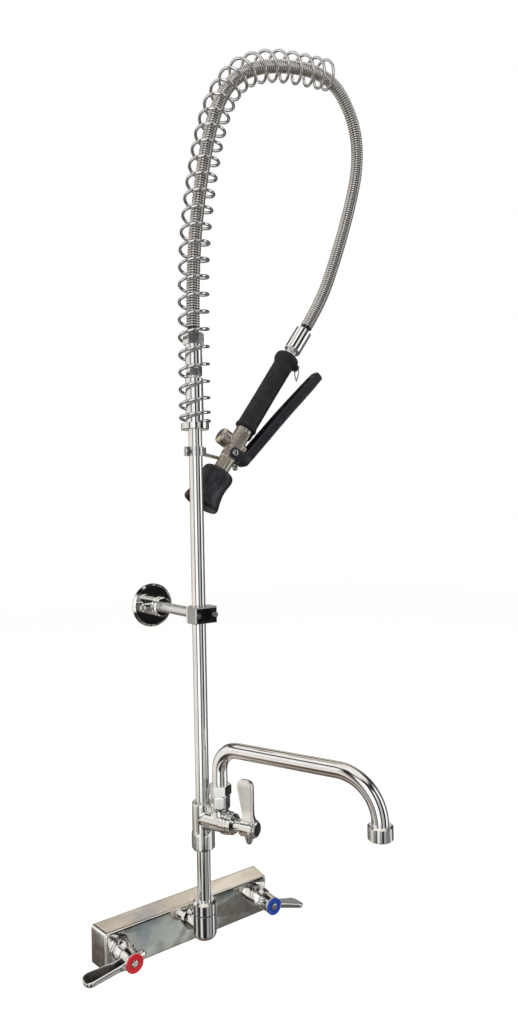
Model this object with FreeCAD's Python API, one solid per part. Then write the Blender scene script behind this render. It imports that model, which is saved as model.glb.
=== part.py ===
import FreeCAD, Part
import math
import os

# Wall mounted pre rinse faucet, in millimetres.
# Origin: on the wall plane, midway between the inlets, at their height.
# +Z is up, -Y points from the wall to the user, +X is the user's right.

V = FreeCAD.Vector
UP = V(0, 0, 1)
OUT = V(0, -1, 0)
RIGHT = V(1, 0, 0)

# Fits
seat_fit = 0.05       # radial gap of a piece fixed in its seat
running_fit = 0.07    # radial gap of a shaft that turns or slides
clear_gap = 0.4       # gap between pieces that pass each other
edge_round = 1.8      # rounded edges of cast and polished pieces

# Base cover
inlet_centres = 203.2
inlet_boss_radius = 15.0
cover_depth = 34.0
cover_top = 20.5
cover_bottom = -27.5
cover_wall = 1.5
cover_end_draft = 5.0      # how far each end leans in from the wall to the front
cover_front_length = inlet_centres + 2 * (inlet_boss_radius + cover_wall + clear_gap)
cover_back_length = cover_front_length + 2 * cover_end_draft
cover_lower_round = 6.5
cover_edge_round = 2.0

# Waterway inside the cover
waterway_front = 32.2      # distance of its front faces from the wall
inlet_thread_radius = 9.3
inlet_thread_depth = 12.0
inlet_port_radius = 4.0
inlet_washer_radius = 7.5
washer_thickness = 2.0
cross_tube_radius = 8.5
cross_bore_radius = 4.0
centre_boss_radius = 14.0
outlet_height = 3.0        # height of the outlet's axis over the inlets

# Valves, the same three times
cartridge_radius = 9.9
cartridge_length = 8.3
cartridge_pocket_depth = 18.5   # from the face that the bonnet closes
bonnet_neck_length = 10.0
bonnet_radius = 14.2
bonnet_length = 21.0
stem_radius = 3.5
stem_reach = 34.0               # from the same face
handle_gap = 0.5                # between the bonnet and the hub
hub_radius = 11.0
hub_length = 19.5
blade_length = 58.0             # from the stem axis
blade_root_width = 11.0
blade_tip_width = 20.0
blade_thickness = 6.5
blade_sweep = 5.0               # the tip lies this much nearer the wall
stub_reach = 16.0
hot_droop = 8.0
cold_droop = 19.0
index_radius = 11.0
index_thickness = 1.5
screw_head_radius = 4.0
screw_head_thickness = 2.0
cap_radius = 9.0           # wide screw head of the add-on handle
cap_thickness = 2.4
handle_screw_radius = 2.0
handle_screw_length = 9.0

# Outlet and riser
riser_offset = 66.0        # riser axis to the wall plane
pipe_radius = 8.55         # 3/8 inch pipe
pipe_bore_radius = 6.3
spud_radius = 9.0
spud_flange_radius = 14.5
spud_flange_thickness = 3.0
outlet_arm_radius = 11.0
outlet_body_radius = 14.75
outlet_bottom_round = 8.0
outlet_bore_radius = 5.5
outlet_joint_height = 23.0
outlet_nut_top = 39.0
pipe_insertion = 10.0

# Add-on valve body
add_on_angle = 22.0        # turned from the wall's normal to the user's right
add_on_bottom = 103.0
add_on_socket_radius = 13.5
add_on_hex = 26.0
add_on_hex_top = 125.0
add_on_valve_height = 142.6
add_on_socket_rise = 19.4  # of the socket's top over the valve's axis
add_on_top = add_on_valve_height + add_on_socket_rise
add_on_web_half = 6.5
add_on_drain_radius = 1.6
add_on_chamber_radius = 13.0
add_on_face = 33.7         # bonnet face, from the riser axis
add_on_bonnet_length = 25.0
spout_axis = 27.3          # from the riser axis
spout_neck_radius = 10.6
spout_neck_hex = 22.0
spout_neck_rise = 16.4     # over the valve's axis
spout_neck_hex_length = 17.0
spout_neck_hex_bottom = add_on_valve_height + spout_neck_rise
spout_neck_hex_top = spout_neck_hex_bottom + spout_neck_hex_length
spout_nut_length = 12.5
spout_nut_top = spout_neck_hex_top + spout_nut_length
spout_nut_hex = 24.5

# Swing spout and aerator
spout_radius = 9.525
spout_bore_radius = 8.2
spout_foot_bore = 6.0
spout_height = 233.0       # centre line of the straight run
spout_bend_share = 0.607   # of the rise from the nut to the straight run
spout_first_bend = spout_bend_share * (spout_height - spout_nut_top)
spout_last_bend = 50.0
spout_reach = 211.9        # spout axis to aerator axis
aerator_drop = 0.4         # of its rim under the end of the last bend
aerator_length = 16.3
aerator_top = spout_height - spout_last_bend - aerator_drop
aerator_bottom = aerator_top - aerator_length
aerator_radius = 14.1
aerator_insert_radius = 11.9
aerator_insert_thickness = 8.0
aerator_washer_thickness = 2.0

# Wall bracket
bracket_height = 396.8
clamp_height = 20.7
clamp_width = 31.8
clamp_block_depth = 18.6
clamp_saddle_depth = 3.9
clamp_sleeve_radius = 12.5
clamp_screw_spread = 24.8
clamp_split = 0.5          # half of the gap between its two halves
clamp_screw_radius = 1.6
arm_radius = 6.75
arm_bore_radius = 4.5
arm_flare_length = 10.0
flange_radius = 30.0
flange_thickness = 4.4
flange_shell = 1.5
flange_back = 60.0         # behind the base's wall plane
bracket_hub_radius = 13.4
bracket_hub_length = 29.0
bracket_hub_ring = 7.0      # length of the ring at its front
set_screw_boss_radius = 6.4
set_screw_boss_reach = 23.5
set_screw_head_radius = 4.0
wall_plate_thickness = 2.5
wall_plate_boss_radius = 9.0
wall_plate_boss_length = 12.0
wall_screw_circle = 38.0
wall_screw_radius = 2.6

# Finger hook
hook_bottom = 594.8
hook_top = 606.1
hook_band_thickness = 2.0
hook_ear_reach = 15.0
hook_lug_reach = 15.5
finger_radius = 2.5
finger_ball_radius = 4.0
finger_route = [(10.5, -60.0, 598.9), (27.0, -48.0, 598.3), (53.0, -28.6, 597.5), (75.0, -28.0, 592.5),
                (84.2, -29.0, 583.6)]

# Spring foot and hose fittings on the riser
collar_bottom = 627.4
collar_top = 635.6
collar_radius = 17.5
sleeve_radius = 11.0
sleeve_top = 692.6
sleeve_neck_radius = 7.5
riser_top = 662.0
hose_nut_hex = 17.5
hose_nut_bottom = 694.9
hose_nut_top = 707.7
hose_tail_radius = 10.65
hose_tail_top = 734.0
hose_ferrule_hex = 23.0
hose_ferrule_top = 749.0
hose_way_radius = 4.5

# Overhead spring: its axis lies in the vertical plane that the hose arches in
arch_angle = 85.0          # turned from the wall's normal to the user's right
spring_wire = 4.0
spring_outer = 40.0
spring_turns = 30.55
spring_start = 0.29        # part of a turn, from the side that becomes the inside of the arch
spring_foot_closing = 0.93 # how much of the pitch is lost at the foot
spring_foot_turns = 1.0    # how quickly the pitch opens there
spring_end_closing = 0.75
spring_end_turns = 0.9
spring_tightening = 0.083  # the pitch shrinks by this share from foot to end
spring_route = [(0, 815), (9.5, 915), (33, 1030), (66, 1092), (117, 1121), (172, 1130.5), (219, 1135)]

# Hose: free points as (reach, towards the wall, height) in the arch's plane
hose_radius = 8.5
hose_groove_radius = 7.6
hose_bore_radius = 5.5
hose_ribs = 180
hose_route = [(0, 0, 815), (9.5, 0, 915), (32, 0, 1030), (65, 0, 1091), (125, 0, 1124.5),
              (222, 2, 1139.5), (267, 5, 1088), (277, 9, 1028), (262, 14, 958), (237, 20, 878)]
hose_last_run = 50.0

# Spray valve: nose centre, its lean in a vertical plane, and stations along its axis
nozzle_place = (22.2, -37.5, 534.4)
nozzle_turn = 83.0
nozzle_rise = 55.7
bumper_length = 53.0
bumper_rim_radius = 24.5
bumper_waist_radius = 20.0
bumper_shoulder_radius = 21.8
bumper_bore_radius = 17.0
spray_face_place = 22.0
spray_face_thickness = 5.0
spray_holes = 14
spray_hole_radius = 0.9
neck_radius = 10.5
body_bottom = 72.0
body_radius = 11.3
yoke_clear_end = 8.0         # round part of the body under the grip
grip_bottom = 122.0
grip_top = 247.0
grip_radius = 13.75
grip_lip_radius = 15.2
grip_collar_radius = 17.0
grip_collar_bottom = 236.0
grip_core_radius = 9.5
grip_tongue_length = 11.0    # reaches down the body under the squeeze lever
grip_tongue_half = 8.0
nozzle_bore_radius = 4.0
swivel_radius = 7.5
swivel_top = 257.0
hose_end_ferrule_radius = 11.75
hose_end_ferrule_top = 293.5
plunger_place = 94.0
plunger_radius = 3.0
plunger_head_radius = 5.6
plunger_reach = 19.0
valve_chamber_radius = 6.6
valve_boss_radius = 8.6
valve_boss_reach = 18.0
valve_gland_reach = 16.0
spray_bonnet_radius = 11.5
spray_bonnet_reach = 28.0
plunger_spring_wire = 0.9
plunger_spring_radius = 4.6
plunger_spring_turns = 5
pivot_place = 82.6
pivot_side = 0.9
pin_radius = 2.4
pin_head_radius = 3.3
pin_head_thickness = 1.4
lever_wall = 2.0
lever_web = 3.0
lever_gap_half = 9.6        # half of the gap between its cheeks
lever_tip_half = 8.0        # half of its width at the tip
lever_eye_radius = 6.3
lever_heel = (82.0, 19.8, 6.6)      # place along the axis, side, half depth
lever_middle = (173.0, 35.6, 6.0)
lever_tip = (250.5, 51.2, 6.2)
clip_place = 241.0
clip_length = 8.0
clip_side = 21.6
clip_half_width = 3.7
ring_wire_radius = 0.9
ring_side_gap = 0.3         # from the lug to the ring's straight sides
ring_side_length = 10.0
ring_length = 19.0          # from its pivot to its pointed end
ring_hang = 60.0            # degrees, below the valve's side, at rest


def placed(shape, origin, along, across=None):
    """Moves a piece made on the Z axis so that its Z axis points along a direction."""
    z = V(along).normalize()
    x = V(across) if across else (RIGHT if abs(z.x) < 0.9 else UP)
    x = (x - z * x.dot(z)).normalize()
    y = z.cross(x)
    o = V(origin)
    turn = FreeCAD.Matrix(x.x, y.x, z.x, o.x, x.y, y.y, z.y, o.y, x.z, y.z, z.z, o.z, 0, 0, 0, 1)
    moved = shape.copy()
    moved.Placement = FreeCAD.Placement(turn).multiply(moved.Placement)
    return moved


def face_of(points):
    return Part.Face(Part.makePolygon(points + [points[0]]))


def turned(outside, bore=None, origin=V(), along=UP):
    """A lathe piece from (place, radius) pairs of its outside and of its bore."""
    section = [V(radius, 0, place) for place, radius in outside]
    if bore:
        section += [V(radius, 0, place) for place, radius in reversed(bore)]
    else:
        section += [V(0, 0, outside[-1][0]), V(0, 0, outside[0][0])]
    return placed(face_of(section).revolve(V(), UP, 360), origin, along)


def rod(radius, start, end):
    run = V(end) - V(start)
    return Part.makeCylinder(radius, run.Length, V(start), run)


def tube(radius, bore, start, end):
    return rod(radius, start, end).cut(rod(bore, start, end))


def hexagon(across_flats, bottom, top):
    corner = across_flats / math.sqrt(3)
    turns = [math.radians(30 + 60 * step) for step in range(6)]
    outline = face_of([V(corner * math.cos(turn), corner * math.sin(turn), bottom) for turn in turns])
    prism = outline.extrude(V(0, 0, top - bottom))
    chamfer = corner - across_flats / 2
    blank = turned([(bottom, corner - chamfer), (bottom + chamfer / 2, corner),
                    (top - chamfer / 2, corner), (top, corner - chamfer)])
    return prism.common(blank)


def box(x0, x1, y0, y1, z0, z1):
    return Part.makeBox(x1 - x0, y1 - y0, z1 - z0, V(x0, y0, z0))


def joined(pieces):
    whole = pieces[0].fuse(pieces[1:]) if len(pieces) > 1 else pieces[0]
    return whole.removeSplitter()


def slot_plate(start, end, start_radius, end_radius, half_thickness):
    """A plate with two round ends of its own radii, lying in the XZ plane."""
    start, end = V(start), V(end)
    run = end - start
    u = V(run).normalize()
    w = V(0, 1, 0).cross(u)
    lean = (end_radius - start_radius) / run.Length
    level = math.sqrt(1 - lean * lean)
    upper = w * level - u * lean
    lower = w * -level - u * lean
    a, b = start + upper * start_radius, end + upper * end_radius
    c, d = end + lower * end_radius, start + lower * start_radius
    outline = Part.Wire([Part.LineSegment(a, b).toShape(), Part.Arc(b, end + u * end_radius, c).toShape(),
                         Part.LineSegment(c, d).toShape(), Part.Arc(d, start - u * start_radius, a).toShape()])
    plate = Part.Face(outline).extrude(V(0, 2 * half_thickness, 0))
    plate.translate(V(0, -half_thickness, 0))
    return plate


def rounded_rim(plate, half_thickness, radius):
    """Rounds the edges that lie in the two faces of a plate."""
    rim = [edge for edge in plate.Edges
           if all(abs(abs(vertex.Point.y) - half_thickness) < 1e-6 for vertex in edge.Vertexes)]
    return plate.makeFillet(radius, rim)


def plane_point(angle, reach, aside, height):
    """A point in the vertical plane through the riser that is turned by an angle from -Y to +X."""
    turn = math.radians(angle)
    outward = V(math.sin(turn), -math.cos(turn), 0)
    wallward = V(math.cos(turn), math.sin(turn), 0)
    return V(0, -riser_offset, height) + outward * reach + wallward * aside


def in_plane(shape, angle):
    """Moves a piece made with X outward, Y towards the wall and Z up onto its plane at the riser."""
    moved = shape.copy()
    turn = FreeCAD.Placement(V(0, -riser_offset, 0), FreeCAD.Rotation(UP, angle - 90))
    moved.Placement = turn.multiply(moved.Placement)
    return moved


def arc_route(points, tightest=None):
    """Straight runs joined by tangent arcs, as a list of edges; returns the arc radii too."""
    points = [V(point) for point in points]
    edges, radii, place = [], [], points[0]
    for before, corner, after in zip(points, points[1:], points[2:]):
        came, goes = (corner - before).normalize(), (after - corner).normalize()
        half_turn = came.getAngle(goes) / 2
        setback = 0.45 * min((corner - before).Length, (after - corner).Length)
        radius = tightest or setback / math.tan(half_turn)
        setback = radius * math.tan(half_turn)
        start, end = corner - came * setback, corner + goes * setback
        inward = (goes - came).normalize()
        centre = corner + inward * (radius / math.cos(half_turn))
        if (start - place).Length > 1e-6:
            edges.append(Part.LineSegment(place, start).toShape())
        edges.append(Part.Arc(start, centre - inward * radius, end).toShape())
        radii.append(radius)
        place = end
    edges.append(Part.LineSegment(place, points[-1]).toShape())
    return edges, radii


def swept(radius, edges):
    """A round bar along a route of straight runs and arcs."""
    path = Part.Wire(edges)
    first = edges[0]
    start = first.valueAt(first.FirstParameter)
    ahead = first.tangentAt(first.FirstParameter)
    circle = Part.Wire(Part.Circle(start, ahead, radius).toShape())
    return path.makePipeShell([circle], True, False)


def route_sampler(edges):
    """Point and direction at a distance along a route."""
    lengths = [edge.Length for edge in edges]

    def at(distance):
        left = min(max(distance, 0.0), sum(lengths))
        for edge, length in zip(edges, lengths):
            if left <= length or edge is edges[-1]:
                parameter = edge.getParameterByLength(min(left, length))
                return edge.valueAt(parameter), edge.tangentAt(parameter).normalize()
            left -= length

    return at, sum(lengths)


def biarc(start, leaving, end, arriving):
    """Two arcs that join two points with the given directions."""
    chord, both = end - start, leaving + arriving
    spread = 2 * (1 - leaving.dot(arriving))
    reach = (-chord.dot(both) + math.sqrt(chord.dot(both) ** 2 + spread * chord.dot(chord))) / spread
    middle = (start + leaving * reach + end - arriving * reach) * 0.5
    across = arriving * -1

    def arc(first, ahead, last):
        span = last - first
        inward = (span - ahead * span.dot(ahead)).normalize()
        radius = span.dot(span) / (2 * span.dot(inward))
        centre = first + inward * radius
        top = centre + ((first - centre) + (last - centre)).normalize() * radius
        return Part.Arc(first, top, last).toShape()

    back = arc(end, across, middle)
    point = back.valueAt((back.FirstParameter + back.LastParameter) / 2)
    return [arc(start, leaving, middle), Part.Arc(middle, point, end).toShape()]


# Base faucet

def inlet_places():
    return [V(side * inlet_centres / 2, 0, 0) for side in (-1, 1)]


def drafted_box(back_length, front_length, depth, bottom, top):
    """Box on the wall plane whose ends lean in towards the front."""
    back, front = back_length / 2, front_length / 2
    plan = face_of([V(-back, 0, bottom), V(back, 0, bottom), V(front, -depth, bottom), V(-front, -depth, bottom)])
    return plan.extrude(UP * (top - bottom))


def base_cover():
    outer = drafted_box(cover_back_length, cover_front_length, cover_depth, cover_bottom, cover_top)
    inner = drafted_box(cover_back_length - 2 * cover_wall, cover_front_length - 2 * cover_wall,
                        cover_depth - cover_wall, cover_bottom + cover_wall, cover_top - cover_wall)

    def at_front(edge, depth):
        return all(abs(vertex.Point.y + depth) < 1e-6 for vertex in edge.Vertexes)

    def at_height(edge, height):
        return all(abs(vertex.Point.z - height) < 1e-6 for vertex in edge.Vertexes)

    def runs_forward(edge):
        return abs(edge.Vertexes[0].Point.y - edge.Vertexes[-1].Point.y) > cover_depth / 2

    outer = outer.makeFillet(cover_lower_round, [edge for edge in outer.Edges if at_front(edge, cover_depth)
                                                 and at_height(edge, cover_bottom)])
    inner = inner.makeFillet(cover_lower_round - cover_wall,
                             [edge for edge in inner.Edges if at_front(edge, cover_depth - cover_wall)
                              and at_height(edge, cover_bottom + cover_wall)])
    sharp = [edge for edge in outer.Edges if at_height(edge, cover_top)
             and (at_front(edge, cover_depth) or runs_forward(edge))]
    sharp += [edge for edge in outer.Edges if at_height(edge, cover_bottom) and runs_forward(edge)]
    outer = outer.makeFillet(cover_edge_round, sharp)
    cover = outer.cut(inner)
    for place in inlet_places():
        cover = cover.cut(rod(cartridge_radius + 6 * running_fit, place, place + OUT * 2 * cover_depth))
    spud_hole = rod(spud_radius + clear_gap, V(0, 0, outlet_height), V(0, -2 * cover_depth, outlet_height))
    return cover.cut(spud_hole)


def waterway():
    centre = V(0, 0, outlet_height)
    pocket_floor = cover_depth - cartridge_pocket_depth
    cross_depth = pocket_floor + cross_bore_radius + 0.5
    ends = [place + OUT * cross_depth for place in inlet_places()]
    body = joined([rod(inlet_boss_radius, place, place + OUT * waterway_front) for place in inlet_places()]
                  + [rod(centre_boss_radius, centre, centre + OUT * waterway_front),
                     rod(cross_tube_radius, ends[0], ends[1])])
    body = body.cut(rod(cross_bore_radius, ends[0], ends[1]))
    for place in inlet_places():
        body = body.cut(rod(inlet_thread_radius, place, place + OUT * inlet_thread_depth))
        body = body.cut(rod(inlet_washer_radius, place, place + OUT * inlet_washer_floor()))
        body = body.cut(rod(inlet_port_radius, place, place + OUT * cover_depth))
        body = body.cut(rod(cartridge_radius + seat_fit * 2, place + OUT * pocket_floor,
                            place + OUT * cover_depth))
    body = body.cut(rod(spud_radius + seat_fit, centre + OUT * spud_start(), centre + OUT * cover_depth))
    return body.cut(rod(outlet_bore_radius, centre + OUT * pocket_floor, centre + OUT * cover_depth))


def spud_start():
    return cover_depth - bonnet_neck_length + 1


def inlet_washer_floor():
    return inlet_thread_depth + washer_thickness


def inlet_washers():
    return Part.makeCompound([tube(inlet_washer_radius - seat_fit, inlet_port_radius + 1,
                                   place + OUT * inlet_thread_depth, place + OUT * inlet_washer_floor())
                              for place in inlet_places()])


def outlet_elbow():
    centre = V(0, 0, outlet_height)
    face = cover_depth
    spud = turned([(spud_start() + 0.2, spud_radius), (face, spud_radius), (face, spud_flange_radius),
                   (face + spud_flange_thickness, spud_flange_radius),
                   (face + spud_flange_thickness + 2, outlet_arm_radius), (riser_offset, outlet_arm_radius)],
                  origin=centre, along=OUT)
    riser = V(0, -riser_offset, 0)
    bottom = outlet_height - outlet_arm_radius - 0.8
    barrel = rod(outlet_body_radius, riser + UP * bottom, riser + UP * outlet_joint_height)
    barrel = barrel.makeFillet(outlet_bottom_round, [edge for edge in barrel.Edges if len(edge.Vertexes) == 1
                                                     and abs(edge.Vertexes[0].Point.z - bottom) < 1e-6])
    neck = rod(outlet_body_radius - 3, riser + UP * outlet_joint_height,
               riser + UP * (outlet_joint_height + (outlet_nut_top - outlet_joint_height) / 2))
    body = joined([spud, barrel, neck])
    body = body.cut(rod(outlet_bore_radius, centre, riser + UP * outlet_height))
    body = body.cut(rod(outlet_bore_radius, riser + UP * outlet_height, riser + UP * outlet_nut_top))
    body = body.cut(seal_groove(centre))
    return body.cut(rod(pipe_radius + seat_fit, riser + UP * (outlet_joint_height - pipe_insertion),
                        riser + UP * outlet_nut_top))


def seal_groove(centre):
    start = spud_start() + 1.5
    return turned([(start, spud_radius + 1), (start + 2, spud_radius + 1)],
                  [(start, spud_radius - 1.2), (start + 2, spud_radius - 1.2)], centre, OUT)


def outlet_seal():
    start = spud_start() + 1.5
    wide, narrow = spud_radius, spud_radius - 1.2 + seat_fit
    return turned([(start + 0.1, wide), (start + 1.9, wide)], [(start + 0.1, narrow), (start + 1.9, narrow)],
                  V(0, 0, outlet_height), OUT)


def outlet_lock_nut():
    bottom, top, wide = outlet_joint_height + 0.6, outlet_nut_top, outlet_body_radius
    neck = outlet_body_radius - 3 + seat_fit
    neck_top = outlet_joint_height + (outlet_nut_top - outlet_joint_height) / 2 + 0.2
    return turned([(bottom, wide - 0.6), (bottom + 0.6, wide), (top - 3, wide), (top, wide - 3)],
                  [(bottom, neck), (neck_top, neck), (neck_top, pipe_radius + seat_fit),
                   (top, pipe_radius + seat_fit)], V(0, -riser_offset, 0))


def pipe(bottom, top):
    riser = V(0, -riser_offset, 0)
    return tube(pipe_radius, pipe_bore_radius, riser + UP * bottom, riser + UP * top)


def lower_nipple():
    return pipe(outlet_joint_height - pipe_insertion + 0.2, add_on_bottom + pipe_insertion)


# Valves

def bonnet(face, length, origin, along):
    neck = cartridge_radius + seat_fit
    groove, ring = bonnet_radius - 1.5, bonnet_radius - 0.5
    outside = [(face - bonnet_neck_length, neck), (face, neck), (face, bonnet_radius),
               (face + 4, bonnet_radius), (face + 4, groove), (face + 5, groove), (face + 5, ring),
               (face + 8, ring), (face + 8, groove - 0.6), (face + 9, groove - 0.6), (face + 9, groove),
               (face + 14, groove), (face + 18, bonnet_radius - 5), (face + 18, bonnet_radius - 6.5),
               (face + length, bonnet_radius - 6.5)]
    wide, narrow = stem_radius + 3, stem_radius + running_fit
    bore = [(face - bonnet_neck_length, wide), (face + 12, wide), (face + 12, narrow), (face + length, narrow)]
    return turned(outside, bore, origin, along)


def cartridge(face, origin, along, side_port):
    floor = face - cartridge_pocket_depth + 0.1
    top = floor + cartridge_length
    body = turned([(floor, cartridge_radius), (top, cartridge_radius), (top, stem_radius + 2.9),
                   (face + 11.5, stem_radius + 2.9)],
                  [(floor, inlet_port_radius), (top - 2, inlet_port_radius), (top - 2, stem_radius + running_fit),
                   (face + 11.5, stem_radius + running_fit)], origin, along)
    port = V(origin) + V(along) * (floor + cartridge_length / 2)
    return body.cut(rod(inlet_port_radius - 1, port, port + V(side_port) * 2 * cartridge_radius))


def stem(face, length, origin, along):
    start = face - cartridge_pocket_depth + cartridge_length - 1.5
    end = stem_end(face, length)
    drill = end - handle_screw_length + 1.5
    thread = handle_screw_radius + seat_fit
    return turned([(start, stem_radius), (end, stem_radius)],
                  [(start, 0), (drill, 0), (drill, thread), (end, thread)], origin, along)


def stem_end(face, length):
    return face + length + handle_gap + hub_length - 6.5


def handle(face, length, origin, along, towards, droop, index=True):
    """Wrist blade handle: hub, tapering blade and short stub; made with its stem along Z."""
    bottom = face + length + handle_gap
    top = bottom + hub_length
    middle = (bottom + top) / 2
    tip_radius = blade_tip_width / 2
    blade = slot_plate((0, 0, middle + 1), (blade_length - tip_radius, 0, middle + 1 - blade_sweep),
                       blade_root_width / 2, tip_radius, blade_thickness / 2)
    blade = rounded_rim(blade, blade_thickness / 2, edge_round)
    hub = turned([(bottom, hub_radius - 1), (bottom + 1, hub_radius), (top - 1, hub_radius),
                  (top, hub_radius - 1)])
    stub = rod(blade_thickness / 2 + 1, V(0, 0, middle), V(-stub_reach, 0, middle))
    stub_end = Part.makeSphere(blade_thickness / 2 + 1, V(-stub_reach, 0, middle))
    body = joined([hub, blade, stub, stub_end])
    seat = stem_end(face, length) + 0.05
    body = body.cut(rod(stem_radius + seat_fit, V(0, 0, bottom), V(0, 0, seat)))
    body = body.cut(rod(handle_screw_radius + 2 * seat_fit, V(0, 0, bottom), V(0, 0, top)))
    if index:
        body = body.cut(turned([(top - index_thickness + 0.6, index_radius - 1.4), (top, index_radius - 1.4)],
                               [(top - index_thickness + 0.6, screw_head_radius + 0.4),
                                (top, screw_head_radius + 0.4)]))
    body.rotate(V(), UP, droop)
    return placed(body, origin, along, towards)


def index_ring(face, length, origin, along):
    floor = face + length + handle_gap + hub_length - index_thickness + 0.6
    wide, narrow = index_radius - 1.4 - seat_fit, screw_head_radius + 0.4 + seat_fit
    return turned([(floor, wide), (floor + index_thickness, wide)],
                  [(floor, narrow), (floor + index_thickness, narrow)], origin, along)


def handle_screw(face, length, origin, along, head_radius=screw_head_radius, thickness=screw_head_thickness):
    top = face + length + handle_gap + hub_length
    return turned([(top - handle_screw_length, handle_screw_radius), (top, handle_screw_radius),
                   (top, head_radius), (top + thickness - 0.8, head_radius),
                   (top + thickness, head_radius - 1.2)], None, origin, along)


def base_valve_pieces():
    hot, cold = inlet_places()
    valves = (("hot", hot, V(-1, 0, 0), hot_droop), ("cold", cold, V(1, 0, 0), -cold_droop))
    pieces = {
        "valve_bonnets": Part.makeCompound([bonnet(cover_depth, bonnet_length, place, OUT)
                                            for _, place, _, _ in valves]),
        "valve_cartridges": Part.makeCompound([cartridge(cover_depth, place, OUT, outward * -1)
                                               for _, place, outward, _ in valves]
                                              + [in_plane(add_on_cartridge(), add_on_angle)]),
    }
    for name, place, outward, droop in valves:
        pieces[name + "_stem"] = stem(cover_depth, bonnet_length, place, OUT)
        pieces[name + "_lever"] = handle(cover_depth, bonnet_length, place, OUT, outward, droop)
        pieces[name + "_index"] = index_ring(cover_depth, bonnet_length, place, OUT)
        pieces[name + "_handle_screw"] = handle_screw(cover_depth, bonnet_length, place, OUT)
    return pieces


# Add-on valve and spout, made with X outward from the riser

def add_on_body():
    valve = V(0, 0, add_on_valve_height)
    neck = V(spout_axis, 0, 0)
    port_height = spout_neck_hex_bottom - 4
    port = cartridge_port()
    socket = turned([(add_on_bottom, add_on_socket_radius), (add_on_top - 1, add_on_socket_radius),
                     (add_on_top, add_on_socket_radius - 1)])
    chamber = rod(add_on_chamber_radius, valve, valve + RIGHT * add_on_face)
    neck_hex = placed(hexagon(spout_neck_hex, spout_neck_hex_bottom, spout_neck_hex_top), neck, UP)
    cone = turned([(add_on_valve_height, add_on_chamber_radius - 1.5), (spout_neck_hex_bottom, spout_neck_radius)],
                  None, neck)
    thread = rod(spout_neck_radius, neck + UP * spout_neck_hex_top, neck + UP * spout_thread_top())
    web_top = spout_neck_hex_bottom
    web = face_of([V(5, 0, add_on_valve_height), V(5, 0, web_top + 2), V(add_on_socket_radius, 0, web_top + 1),
                   V(spout_axis - spout_neck_radius + 2, 0, web_top - 1), V(spout_axis, 0, web_top - 1),
                   V(spout_axis, 0, add_on_valve_height)]).extrude(V(0, 2 * add_on_web_half, 0))
    web.translate(V(0, -add_on_web_half, 0))
    body = joined([socket, hexagon(add_on_hex, add_on_bottom, add_on_hex_top), chamber, web, cone,
                   neck_hex, thread])
    water = [rod(pipe_radius + seat_fit, UP * add_on_bottom, UP * (add_on_bottom + pipe_insertion + 0.2)),
             rod(pipe_bore_radius, UP * add_on_bottom, UP * add_on_top),
             rod(pipe_radius + seat_fit, UP * (add_on_top - pipe_insertion - 0.2), UP * add_on_top),
             rod(inlet_port_radius, valve, valve + RIGHT * add_on_face),
             rod(cartridge_radius + 2 * seat_fit, valve + RIGHT * (add_on_face - cartridge_pocket_depth),
                 valve + RIGHT * add_on_face),
             rod(inlet_port_radius - 1, V(port, 0, add_on_valve_height), V(port, 0, port_height)),
             rod(inlet_port_radius - 1, V(port, 0, port_height), V(spout_axis, 0, port_height)),
             rod(spout_foot_bore, neck + UP * (port_height - 1), neck + UP * spout_neck_hex_top),
             rod(spout_radius + running_fit, neck + UP * spout_seat(), neck + UP * spout_thread_top()),
             rod(add_on_drain_radius, V(-add_on_hex, -6, add_on_bottom + 8), V(-pipe_radius - 2, 0, add_on_bottom + 8)),
             rod(bonnet_radius + clear_gap, valve + RIGHT * add_on_face, valve + RIGHT * 2 * add_on_face)]
    for way in water:
        body = body.cut(way)
    return body


def cartridge_port():
    return add_on_face - cartridge_pocket_depth + 0.1 + cartridge_length / 2


def spout_seat():
    return spout_neck_hex_bottom + 1


def spout_thread_top():
    return spout_neck_hex_top + 6


def add_on_valve_pieces():
    origin = V(0, 0, add_on_valve_height)
    where = (add_on_face, add_on_bonnet_length, origin, RIGHT)
    return {
        "add_on_body": add_on_body(),
        "add_on_bonnet": bonnet(*where),
        "add_on_stem": stem(*where),
        "add_on_lever": handle(*where, UP, 0, index=False),
        "add_on_handle_screw": handle_screw(*where, cap_radius, cap_thickness),
    }


def add_on_cartridge():
    return cartridge(add_on_face, V(0, 0, add_on_valve_height), RIGHT, UP)


def spout_nut():
    bottom, top = spout_neck_hex_top + 0.1, spout_nut_top
    nut = placed(hexagon(spout_nut_hex, bottom, top), V(spout_axis, 0, 0), UP)
    axis = V(spout_axis, 0, 0)
    nut = nut.cut(rod(spout_neck_radius + seat_fit, axis + UP * bottom, axis + UP * (top - 4)))
    return nut.cut(rod(spout_radius + running_fit, axis + UP * bottom, axis + UP * top))


def seal_places():
    return [spout_seat() + 4, spout_seat() + 9]


def spout_seals():
    wide, narrow = spout_radius, spout_radius - 1.2 + seat_fit
    return Part.makeCompound([turned([(place, wide), (place + 1.8, wide)], [(place, narrow), (place + 1.8, narrow)],
                                     V(spout_axis, 0, 0)) for place in seal_places()])


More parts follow.
